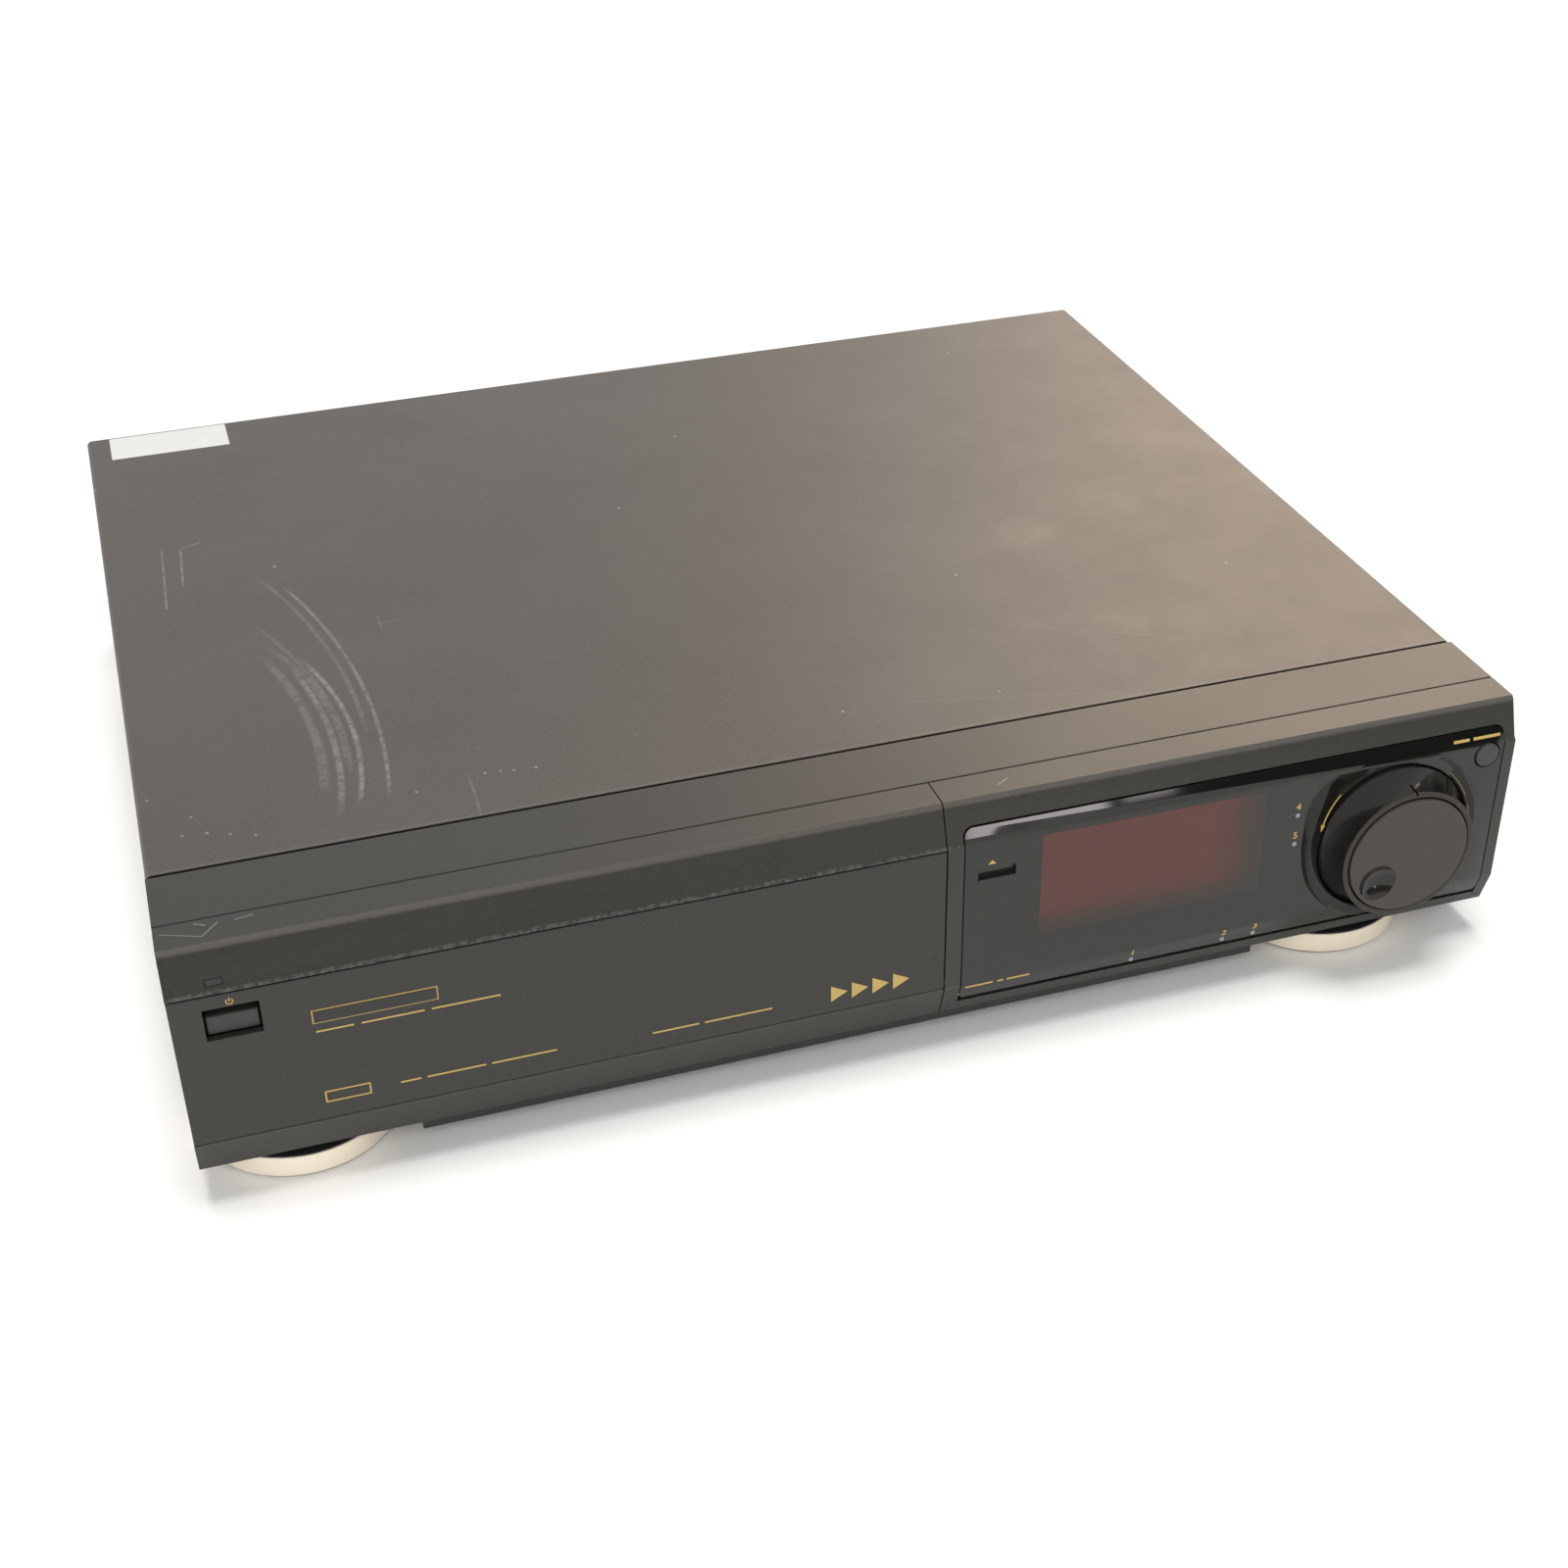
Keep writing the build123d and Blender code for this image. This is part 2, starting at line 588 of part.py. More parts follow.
# Control door with its mound, window, notch and indicator lenses
door_outline = [
    (slope_depth(DOOR_TOP), DOOR_TOP),
    (-BAND_REACH, BAND_DROP),
    (-BAND_REACH, FACE_END),
    (slope_depth(DOOR_TANGENT), DOOR_TANGENT),
    door_axis,
    (WALL - BAND_REACH, FACE_END - SEAM),
    (WALL - BAND_REACH, BAND_DROP + SEAM),
    (slope_depth(DOOR_TOP) + WALL, DOOR_TOP),
]
with BuildPart() as control_door:
    bar(door_outline, DOOR_LEFT, DOOR_RIGHT)
    along_width(*door_axis, DOOR_LEFT, DOOR_RIGHT, BEAD_RADIUS)
    rounded_window(DOOR_LEFT, DOOR_RIGHT, DOOR_TOP, door_bottom, DOOR_CORNER, Mode.INTERSECT)
    mound_rim = Plane(origin=(DIAL_X, 0, down(DIAL_DROP)), x_dir=(1, 0, 0), z_dir=(0, 0, 1))
    with BuildSketch(mound_rim) as mound_outline:
        with BuildLine():
            Polyline(
                (MOUND_RADIUS, back(-BAND_REACH)),
                (MOUND_RADIUS - MOUND_FLANK, back(-BAND_REACH - MOUND_RISE)),
                (MOUND_HOLE_RADIUS - SEAM, back(-BAND_REACH - MOUND_RISE)),
                (MOUND_HOLE_RADIUS - SEAM, back(WALL - BAND_REACH)),
                (MOUND_RADIUS, back(WALL - BAND_REACH)),
                close=True,
            )
        make_face()
    revolve(axis=Axis((DIAL_X, 0, down(DIAL_DROP)), (0, 1, 0)))
    mound_left = -MOUND_RADIUS
    mound_top = DIAL_DROP - BAND_DROP
    bend = MOUND_CORNER * (1 - math.sqrt(0.5))
    door_face = Plane(
        origin=(DIAL_X, back(-BAND_REACH), down(DIAL_DROP)), x_dir=(1, 0, 0), z_dir=(0, -1, 0)
    )
    with BuildSketch(door_face) as mound_shoulder:
        with BuildLine():
            corner = ThreePointArc(
                (mound_left, mound_top - MOUND_CORNER),
                (mound_left + bend, mound_top - bend),
                (mound_left + MOUND_CORNER, mound_top),
            )
            Polyline(corner @ 1, (0, mound_top), (0, 0), (mound_left, 0), corner @ 0)
        make_face()
    extrude(amount=MOUND_RISE, taper=math.degrees(math.atan2(MOUND_FLANK, MOUND_RISE)))
    mound_end = door_axis[1] - MOUND_CLEAR
    in_front = [
        (-RING_REACH, mound_end),
        (slope_depth(mound_end), mound_end),
        (-STRIP_REACH, FACE_HEIGHT),
        (-RING_REACH, FACE_HEIGHT),
    ]
    bar(in_front, DOOR_LEFT, DOOR_RIGHT, mode=Mode.SUBTRACT)
    along_depth(DIAL_X, DIAL_DROP, -RING_REACH, WALL, MOUND_HOLE_RADIUS, mode=Mode.SUBTRACT)
    along_depth(MODE_X, MODE_DROP, -RING_REACH, WALL, MODE_RADIUS + MODE_GAP, mode=Mode.SUBTRACT)
    block(
        (window_left, window_right),
        (-BAND_REACH, WALL - BAND_REACH),
        (WINDOW_TOP, window_end),
        mode=Mode.SUBTRACT,
    )
    notch_left = DOOR_LEFT + NOTCH_OFFSET
    block(
        (notch_left, notch_left + NOTCH_SIZE[0]),
        (-BAND_REACH, NOTCH_SUNK - BAND_REACH),
        (NOTCH_TOP, NOTCH_TOP + NOTCH_SIZE[1]),
        mode=Mode.SUBTRACT,
    )
    block(
        (notch_left, notch_left + NOTCH_SIZE[0]),
        (-BAND_REACH - SEAM, -BAND_REACH),
        (NOTCH_TOP + NOTCH_SIZE[1], NOTCH_TOP + NOTCH_SIZE[1] + NOTCH_LIP),
    )
    for lens_x, lens_drop in indicator_places:
        front = slope_depth(lens_drop)
        along_depth(
            lens_x,
            lens_drop,
            front - WALL,
            front + INDICATOR_DEPTH,
            INDICATOR_RADIUS,
            mode=Mode.SUBTRACT,
        )
    for x0, x1 in (
        (DOOR_LEFT, DOOR_LEFT + HINGE_PIN_GRIP + FIT),
        (DOOR_RIGHT - HINGE_PIN_GRIP - FIT, DOOR_RIGHT),
    ):
        along_width(*door_axis, x0, x1, pin_hole, mode=Mode.SUBTRACT)
save(control_door, "control_door")

with BuildPart() as display_window:
    block(
        (window_left, window_right),
        (-BAND_REACH, WALL - BAND_REACH),
        (WINDOW_TOP, window_end),
    )
save(display_window, "display_window")

with BuildPart() as indicator_lenses:
    for lens_x, lens_drop in indicator_places:
        front = slope_depth(lens_drop)
        along_depth(
            lens_x,
            lens_drop,
            front - INDICATOR_PROUD,
            front + INDICATOR_DEPTH,
            INDICATOR_RADIUS,
        )
save(indicator_lenses, "indicator_lenses")

with BuildPart() as door_hinge_pins:
    along_width(*door_axis, lug_left[0], DOOR_LEFT + HINGE_PIN_GRIP, HINGE_PIN_RADIUS)
    along_width(*door_axis, DOOR_RIGHT - HINGE_PIN_GRIP, lug_right[1], HINGE_PIN_RADIUS)
save(door_hinge_pins, "door_hinge_pins")

# Dial base, shuttle ring, jog dial and jog-mode button
boss_front = -(DIAL_REACH - DIAL_THICKNESS - FIT)
base_front = -(RING_BACK - FIT)
with BuildPart() as dial_base:
    along_depth(DIAL_X, DIAL_DROP, base_front, BAND_BACK, RING_BACK_RADIUS)
    along_depth(DIAL_X, DIAL_DROP, boss_front, base_front, BOSS_RADIUS)
    along_depth(DIAL_X, DIAL_DROP, boss_front, BAND_BACK, DIAL_SHAFT_RADIUS + RUNNING, mode=Mode.SUBTRACT)
save(dial_base, "dial_base")

ring_bore = DIAL_RADIUS + RING_GAP
with BuildPart() as shuttle_ring:
    with BuildSketch(mound_rim) as ring_outline:
        with BuildLine():
            side = ThreePointArc(
                (RING_BACK_RADIUS, back(-RING_BACK - RING_WEB)),
                (RING_WAIST_RADIUS, back(-(RING_BACK + RING_WEB + RING_REACH) / 2)),
                (RING_RIM_RADIUS, back(-RING_REACH + SEAM)),
            )
            Polyline(
                side @ 1,
                (RING_RIM_RADIUS - SEAM, back(-RING_REACH)),
                (ring_bore + LIP_ROUND, back(-RING_REACH)),
                (ring_bore, back(-RING_REACH + LIP_ROUND)),
                (ring_bore, back(-RING_BACK - RING_WEB)),
                (BOSS_RADIUS + RUNNING, back(-RING_BACK - RING_WEB)),
                (BOSS_RADIUS + RUNNING, back(-RING_BACK)),
                (RING_BACK_RADIUS, back(-RING_BACK)),
                side @ 0,
            )
        make_face()
    revolve(axis=Axis((DIAL_X, 0, down(DIAL_DROP)), (0, 1, 0)))
    along_depth(
        DIAL_X,
        DIAL_DROP - RING_RIM_RADIUS,
        -RING_REACH,
        -RING_REACH + RING_WEB,
        RING_NOTCH,
        mode=Mode.SUBTRACT,
    )
save(shuttle_ring, "shuttle_ring")

with BuildPart() as jog_dial:
    along_depth(DIAL_X, DIAL_DROP, -DIAL_REACH, DIAL_THICKNESS - DIAL_REACH, DIAL_RADIUS)
    rim = jog_dial.edges().filter_by(GeomType.CIRCLE).group_by(Axis.Y)[0]
    fillet(rim, LIP_ROUND)
    along_depth(DIAL_X, DIAL_DROP, DIAL_THICKNESS - DIAL_REACH, BAND_BACK, DIAL_SHAFT_RADIUS)
    sphere_radius = (DIMPLE_RADIUS**2 + DIMPLE_DEPTH**2) / (2 * DIMPLE_DEPTH)
    dimple_y = back(-DIAL_REACH) - (sphere_radius - DIMPLE_DEPTH)
    with Locations((DIAL_X + DIMPLE_PLACE[0], dimple_y, down(DIAL_DROP) + DIMPLE_PLACE[1])):
        Sphere(sphere_radius, mode=Mode.SUBTRACT)
save(jog_dial, "jog_dial")

with BuildPart() as jog_mode_button:
    mode_front = slope_depth(MODE_DROP) - MODE_PROUD
    along_depth(MODE_X, MODE_DROP, mode_front, WALL - STRIP_REACH, MODE_RADIUS)
    mode_rim = jog_mode_button.edges().filter_by(GeomType.CIRCLE).group_by(Axis.Y)[0]
    fillet(mode_rim, SEAM)
    along_depth(MODE_X, MODE_DROP, WALL - STRIP_REACH, BULKHEAD + BUTTON_TRAVEL, MODE_STEM_RADIUS)
save(jog_mode_button, "jog_mode_button")

# Keys, sliders and latch behind the control door
flange_front = BULKHEAD + FIT
for number, key_x in enumerate(key_places, start=1):
    with BuildPart() as function_key:
        block(
            (key_x - KEY_SIZE[0] / 2, key_x + KEY_SIZE[0] / 2),
            (BAND_BACK - KEY_PROUD, flange_front + KEY_FLANGE),
            (KEY_DROP - KEY_SIZE[1] / 2, KEY_DROP + KEY_SIZE[1] / 2),
        )
        key_rim = function_key.faces().sort_by(Axis.Y)[0].edges()
        chamfer(key_rim, SEAM)
        block(
            (key_x - KEY_SIZE[0] / 2 - KEY_FLANGE_REACH, key_x + KEY_SIZE[0] / 2 + KEY_FLANGE_REACH),
            (flange_front, flange_front + KEY_FLANGE),
            (KEY_DROP - KEY_SIZE[1] / 2 - KEY_FLANGE_REACH, KEY_DROP + KEY_SIZE[1] / 2 + KEY_FLANGE_REACH),
        )
        along_depth(key_x, KEY_DROP, flange_front, BOARD_DEPTH - BUTTON_TRAVEL, MODE_STEM_RADIUS)
    save(function_key, f"function_key_{number}")

for side_name, slider_drop in zip(("left", "right"), SLIDER_DROPS):
    with BuildPart() as level_slider:
        block(
            (slider_x - SLIDER_STEM[0] / 2, slider_x + SLIDER_STEM[0] / 2),
            (BAND_BACK - KEY_PROUD, BOARD_DEPTH - FIT),
            (slider_drop - SLIDER_STEM[1] / 2, slider_drop + SLIDER_STEM[1] / 2),
        )
        block(
            (slider_x - SLIDER_STEM[0], slider_x + SLIDER_STEM[0]),
            (BAND_BACK - KEY_PROUD, BAND_BACK - FIT),
            (slider_drop - SLIDER_STEM[0], slider_drop + SLIDER_STEM[0]),
        )
        block(
            (slider_x - SLIDER_STEM[0], slider_x + SLIDER_STEM[0]),
            (flange_front, flange_front + KEY_FLANGE),
            (slider_drop - SLIDER_STEM[0], slider_drop + SLIDER_STEM[0]),
        )
    save(level_slider, f"level_slider_{side_name}")

with BuildPart() as door_latch:
    latch_front = WALL - BAND_REACH + FIT
    latch_rear = BOARD_DEPTH - LATCH_TRAVEL - FIT
    latch_flange = LATCH_RADIUS + KEY_FLANGE_REACH
    along_depth(latch_x, LATCH_DROP, latch_front, latch_rear, LATCH_RADIUS)
    along_depth(latch_x, LATCH_DROP, flange_front, flange_front + KEY_FLANGE, latch_flange)
save(door_latch, "door_latch")

with BuildPart() as front_board:
    block(
        (DOOR_LEFT - STILE_LEFT / 2, RIGHT - WALL - SHEET),
        (BOARD_DEPTH, BOARD_DEPTH + BOARD_SHEET),
        (WALL * 2, FACE_HEIGHT - WALL * 2),
    )
save(front_board, "front_board")

with BuildPart() as display_module:
    block(
        (window_left + FIT, window_right - FIT),
        (BAND_BACK + FIT, BOARD_DEPTH),
        (WINDOW_TOP + WALL + FIT, window_end - FIT),
    )
save(display_module, "display_module")

# Cover, bottom pan and rear panel
screw_places = [(depth, FACE_HEIGHT - PAN_FLANGE / 2) for depth in SCREW_DEPTHS]
with BuildPart() as top_cover:
    block((LEFT, RIGHT), (COVER_FRONT, CASE_DEPTH), (0, FACE_HEIGHT - SHEET / 2))
    long_edges = top_cover.edges().filter_by(Axis.Y).group_by(Axis.Z)[-1]
    fillet(long_edges, COVER_EDGE)
    block(
        (LEFT + SHEET, RIGHT - SHEET),
        (COVER_FRONT, CASE_DEPTH),
        (SHEET, FACE_HEIGHT),
        mode=Mode.SUBTRACT,
    )
    for a, b in screw_places:
        along_width(a, b, LEFT, RIGHT, SCREW_RADIUS, mode=Mode.SUBTRACT)
save(top_cover, "top_cover")

pan_half = CASE_WIDTH / 2 - SHEET - FIT / 2
flange_top = FACE_HEIGHT - PAN_FLANGE
skirt_floor = PAN_BOTTOM + SKIRT_DEEP - SHEET
with BuildPart() as bottom_pan:
    block((-pan_half, pan_half), (RAIL_BACK, REAR_FACE), (flange_top, PAN_BOTTOM))
    block(
        (-pan_half + SHEET, pan_half - SHEET),
        (RAIL_BACK, REAR_FACE),
        (flange_top, FACE_HEIGHT),
        mode=Mode.SUBTRACT,
    )
    block(
        (-SKIRT_LEFT, SKIRT_RIGHT),
        (SKIRT_FRONT, REAR_FACE - WALL),
        (FACE_HEIGHT, PAN_BOTTOM + SKIRT_DEEP),
    )
    block(
        (-SKIRT_LEFT + SHEET, SKIRT_RIGHT - SHEET),
        (SKIRT_FRONT + SHEET, REAR_FACE - WALL - SHEET),
        (FACE_HEIGHT, skirt_floor),
        mode=Mode.SUBTRACT,
    )
    block((-pan_half, pan_half), (SKIRT_FRONT, RAIL_BACK), (FACE_HEIGHT, PAN_BOTTOM))
    with Locations((SLOT_X, back(VENT_DEPTH), down(skirt_floor + SHEET / 2))):
        with GridLocations(VENT_PITCH, VENT_ROWS[1], VENT_COUNT, VENT_ROWS[0]):
            Box(VENT_WIDTH, VENT_LENGTH, SHEET, mode=Mode.SUBTRACT)
    for a, b in screw_places:
        along_width(a, b, -pan_half, pan_half, SCREW_RADIUS, mode=Mode.SUBTRACT)
save(bottom_pan, "bottom_pan")

# Places on the rear panel, as X and drop
inlet_place = (LEFT + INLET_INSET, INLET_DROP)
scart_places = [(SCART_X, SCART_DROP), (SCART_X, SCART_DROP + SCART_PITCH)]
phono_places = [
    (RIGHT - PHONO_INSET + PHONO_PITCH * column, PHONO_DROP + PHONO_PITCH * row)
    for column in range(PHONO_GRID[0])
    for row in range(PHONO_GRID[1])
]
aerial_x = RIGHT - TUNER_INSET - TUNER_SIZE[0] / 2
aerial_places = [(aerial_x, AERIAL_DROP), (aerial_x, AERIAL_DROP + AERIAL_PITCH)]
rear_inner = REAR_FACE - SHEET
with BuildPart() as rear_panel:
    block((-pan_half, pan_half), (rear_inner, REAR_FACE), (SHEET + FIT, flange_top))
    block((-pan_half + SHEET, pan_half - SHEET), (rear_inner, REAR_FACE), (flange_top, FACE_HEIGHT))
    for (x, drop), (width, height) in zip(
        [inlet_place, *scart_places], [INLET_SIZE, SCART_SIZE, SCART_SIZE]
    ):
        block(
            (x - width / 2, x + width / 2),
            (rear_inner, REAR_FACE),
            (drop - height / 2, drop + height / 2),
            mode=Mode.SUBTRACT,
        )
    for x, drop in phono_places:
        along_depth(x, drop, rear_inner, REAR_FACE, NECK_RADIUS, mode=Mode.SUBTRACT)
    for x, drop in aerial_places:
        along_depth(x, drop, rear_inner, REAR_FACE, NECK_RADIUS, mode=Mode.SUBTRACT)
    for count in range(VENT_COUNT):
        vent_x = LEFT + REAR_VENT_INSET + count * VENT_PITCH
        block(
            (vent_x, vent_x + VENT_WIDTH),
            (rear_inner, REAR_FACE),
            (REAR_VENT_TOP, REAR_VENT_TOP + VENT_LENGTH),
            mode=Mode.SUBTRACT,
        )
save(rear_panel, "rear_panel")


def socket_shell(x, drop, size, recess, deep):
    """A rectangular socket through the rear panel: its body, a flange inside and its recess."""
    half_width, half_height = size[0] / 2 - FIT, size[1] / 2 - FIT
    body_drops = (drop - half_height, drop + half_height)
    socket_depths = (rear_inner - deep - WALL, REAR_FACE + SOCKET_PROUD)
    block((x - half_width, x + half_width), socket_depths, body_drops)
    block(
        (x - half_width - SOCKET_FLANGE, x + half_width + SOCKET_FLANGE),
        (rear_inner - WALL, rear_inner),
        body_drops,
    )
    block(
        (x - recess[0] / 2, x + recess[0] / 2),
        (rear_inner - deep, REAR_FACE + SOCKET_PROUD),
        (drop - recess[1] / 2, drop + recess[1] / 2),
        mode=Mode.SUBTRACT,
    )


with BuildPart() as mains_inlet:
    x, drop = inlet_place
    socket_shell(x, drop, INLET_SIZE, INLET_RECESS, INLET_DEEP)
    for side in (-1, 1):
        pin_x = x + side * INLET_PIN_PITCH / 2
        along_depth(pin_x, drop, rear_inner - INLET_DEEP, REAR_FACE - WALL, CONTACT_RADIUS)
save(mains_inlet, "mains_inlet")

with BuildPart() as scart_sockets:
    for x, drop in scart_places:
        socket_shell(x, drop, SCART_SIZE, SCART_RECESS, SCART_DEEP)
save(scart_sockets, "scart_sockets")

with BuildPart() as phono_sockets:
    for x, drop in phono_places:
        half = PHONO_BODY / 2
        block((x - half, x + half), (rear_inner - PHONO_BODY, rear_inner), (drop - half, drop + half))
        along_depth(x, drop, rear_inner, REAR_FACE, NECK_RADIUS)
        along_depth(x, drop, REAR_FACE, REAR_FACE + PHONO_LENGTH, PHONO_RADIUS)
        along_depth(
            x,
            drop,
            REAR_FACE - PHONO_LENGTH / 2,
            REAR_FACE + PHONO_LENGTH,
            PHONO_BORE,
            mode=Mode.SUBTRACT,
        )
save(phono_sockets, "phono_sockets")

with BuildPart() as tuner_box:
    box_left = RIGHT - TUNER_INSET - TUNER_SIZE[0]
    box_front = rear_inner - TUNER_SIZE[1]
    block((box_left, box_left + TUNER_SIZE[0]), (box_front, rear_inner), (TUNER_TOP, BOARD_TOP))
    block(
        (box_left + SHEET, box_left + TUNER_SIZE[0] - SHEET),
        (box_front + SHEET, rear_inner - SHEET),
        (TUNER_TOP + SHEET, BOARD_TOP),
        mode=Mode.SUBTRACT,
    )
    for x, drop in aerial_places:
        along_depth(x, drop, rear_inner, REAR_FACE, NECK_RADIUS)
        along_depth(x, drop, REAR_FACE, CASE_DEPTH + REAR_REACH, AERIAL_RADIUS)
        along_depth(x, drop, REAR_FACE + SHEET, CASE_DEPTH + REAR_REACH, AERIAL_BORE, mode=Mode.SUBTRACT)
        along_depth(x, drop, REAR_FACE, CASE_DEPTH + REAR_REACH - SHEET, CONTACT_RADIUS)
save(tuner_box, "tuner_box")

# Side and rear screws of the cover
with BuildPart() as case_screws:
    for a, b in screw_places:
        for side in (-1, 1):
            end = side * RIGHT
            along_width(a, b, end, end + side * SCREW_HEAD, SCREW_HEAD_RADIUS)
            along_width(a, b, end - side * SCREW_LENGTH, end, SCREW_RADIUS)
            for long_depth, long_drop in (SCREW_CROSS, SCREW_CROSS[::-1]):
                block(
                    (end + side * SCREW_HEAD / 2, end + side * SCREW_HEAD),
                    (a - long_depth / 2, a + long_depth / 2),
                    (b - long_drop / 2, b + long_drop / 2),
                    mode=Mode.SUBTRACT,
                )
save(case_screws, "case_screws")

# Feet
foot_places = [(x, a) for a in (FOOT_FRONT, FOOT_REAR) for x in (-FOOT_LEFT, FOOT_RIGHT)]
ring_top = PAN_BOTTOM + FOOT_NECK
ring_bottom = ring_top + FOOT_RING
with BuildPart() as foot_cores:
    for x, a in foot_places:
        upright(x, a, PAN_BOTTOM, ring_top, FOOT_NECK_RADIUS)
        upright(x, a, ring_top, ring_bottom, FOOT_CORE_RADIUS)
save(foot_cores, "foot_cores")

with BuildPart() as foot_rings:
    for x, a in foot_places:
        upright(x, a, ring_top, ring_bottom, FOOT_RADIUS)
    chamfer(foot_rings.edges().filter_by(GeomType.CIRCLE), SEAM)
    for x, a in foot_places:
        upright(x, a, ring_top, ring_bottom, FOOT_CORE_RADIUS, mode=Mode.SUBTRACT)
save(foot_rings, "foot_rings")

with BuildPart() as foot_pads:
    for x, a in foot_places:
        upright(x, a, ring_bottom, ring_bottom + FOOT_PAD, FOOT_RADIUS - SEAM * 2)
save(foot_pads, "foot_pads")

# Tape deck: plate, posts and the shafts fixed in it
capstan_x = SLOT_X + CAPSTAN_OFFSET
arm_x = SLOT_X + ARM_PIVOT[0]
reel_places = [SLOT_X - REEL_SPACING / 2, SLOT_X + REEL_SPACING / 2]
guide_places = [SLOT_X - GUIDE_OFFSET, SLOT_X + GUIDE_OFFSET]
post_places = [
    (SLOT_X + side * (DECK_HALF - POST_RADIUS - DECK_MARGIN), a)
    for side in (-1, 1)
    for a in (RAIL_BACK + POST_RADIUS * 2, DECK_REAR - POST_RADIUS * 2)
]


def floor_drop(x):
    """Drop of the pan's inner floor at X."""
    return skirt_floor if -SKIRT_LEFT < x < SKIRT_RIGHT else FACE_HEIGHT


with BuildPart() as deck_plate:
    block(
        (SLOT_X - DECK_HALF, SLOT_X + DECK_HALF),
        (DECK_FRONT, DECK_REAR),
        (DECK_DROP, DECK_UNDER),
    )
    upright(capstan_x, CAPSTAN_DEPTH, DECK_DROP, DECK_UNDER, CAPSTAN_RADIUS + FIT, mode=Mode.SUBTRACT)
    for x in reel_places:
        upright(x, REEL_DEPTH, DECK_DROP, DECK_UNDER, REEL_SHAFT_RADIUS, mode=Mode.SUBTRACT)
    upright(arm_x, ARM_PIVOT[1], DECK_DROP, DECK_UNDER, REEL_SHAFT_RADIUS, mode=Mode.SUBTRACT)
    for x in guide_places:
        block(
            (x - GUIDE_STEM_RADIUS - STEM_LOOSE, x + GUIDE_STEM_RADIUS + STEM_LOOSE),
            (GUIDE_DEPTH - GUIDE_STEM_RADIUS - FIT, GUIDE_DEPTH + GUIDE_TRAVEL + GUIDE_STEM_RADIUS + FIT),
            (DECK_DROP, DECK_UNDER),
            mode=Mode.SUBTRACT,
        )
save(deck_plate, "deck_plate")

with BuildPart() as deck_posts:
    for x, a in post_places:
        upright(x, a, DECK_UNDER, floor_drop(x), POST_RADIUS)
save(deck_posts, "deck_posts")

with BuildPart() as deck_shafts:
    for x in reel_places:
        upright(x, REEL_DEPTH, REEL_TOP + WALL, DECK_UNDER, REEL_SHAFT_RADIUS)
    upright(arm_x, ARM_PIVOT[1], ARM_DROP, DECK_UNDER, REEL_SHAFT_RADIUS)
save(deck_shafts, "deck_shafts")

# Head drum, leaning back from the upright
lean = math.radians(DRUM_TILT)
drum_plane = Plane(
    origin=(SLOT_X, back(DRUM_DEPTH), down(DRUM_SPLIT_DROP)),
    x_dir=(1, 0, 0),
    z_dir=(0, math.sin(lean), math.cos(lean)),
)
drum_reach = (DECK_DROP - DRUM_SPLIT_DROP + DRUM_RADIUS * math.sin(lean)) / math.cos(lean)
with BuildPart() as lower_drum:
    with BuildSketch(drum_plane) as drum_outline:
        Circle(DRUM_RADIUS)
    extrude(drum_outline.sketch, amount=-drum_reach)
    with BuildSketch(drum_plane) as shaft_outline:
        Circle(DRUM_SHAFT_RADIUS)
    extrude(shaft_outline.sketch, amount=UPPER_DRUM - DRUM_SHAFT_SUNK)
    block(
        (SLOT_X - DRUM_RADIUS * 2, SLOT_X + DRUM_RADIUS * 2),
        (DRUM_DEPTH - DRUM_RADIUS * 2, DRUM_DEPTH + DRUM_RADIUS * 2),
        (DECK_DROP, FACE_HEIGHT),
        mode=Mode.SUBTRACT,
    )
save(lower_drum, "lower_drum")

with BuildPart() as upper_drum:
    with BuildSketch(drum_plane.offset(FIT)) as upper_outline:
        Circle(DRUM_RADIUS)
        Circle(DRUM_SHAFT_RADIUS + RUNNING, mode=Mode.SUBTRACT)
    extrude(upper_outline.sketch, amount=UPPER_DRUM - FIT)
    with BuildSketch(drum_plane.offset(UPPER_DRUM)) as dish_outline:
        Circle(DRUM_RADIUS - WALL * 2)
        Circle(DRUM_SHAFT_RADIUS + WALL, mode=Mode.SUBTRACT)
    extrude(dish_outline.sketch, amount=-WALL, mode=Mode.SUBTRACT)
save(upper_drum, "upper_drum")

# Reel tables
table_bottom = DECK_DROP - FIT
for side_name, x in zip(("supply", "take_up"), reel_places):
    with BuildPart() as reel_table:
        upright(x, REEL_DEPTH, table_bottom - REEL_TABLE, table_bottom, REEL_RADIUS)
        upright(x, REEL_DEPTH, REEL_TOP, table_bottom, REEL_HUB_RADIUS)
        with Locations((x, back(REEL_DEPTH), down((REEL_TOP + table_bottom) / 2))):
            with PolarLocations(REEL_HUB_RADIUS, 3):
                Box(SHEET * 2, SHEET, table_bottom - REEL_TOP - SHEET)
        upright(x, REEL_DEPTH, REEL_TOP, table_bottom, REEL_SHAFT_RADIUS + RUNNING, mode=Mode.SUBTRACT)
    save(reel_table, f"{side_name}_reel")

# Capstan, pinch arm and pinch roller
with BuildPart() as capstan:
    upright(capstan_x, CAPSTAN_DEPTH, CAPSTAN_TOP, DECK_UNDER + FLYWHEEL_GAP, CAPSTAN_RADIUS)
    upright(
        capstan_x,
        CAPSTAN_DEPTH,
        DECK_UNDER + FLYWHEEL_GAP,
        DECK_UNDER + FLYWHEEL_GAP + FLYWHEEL_THICKNESS,
        FLYWHEEL_RADIUS,
    )
save(capstan, "capstan")

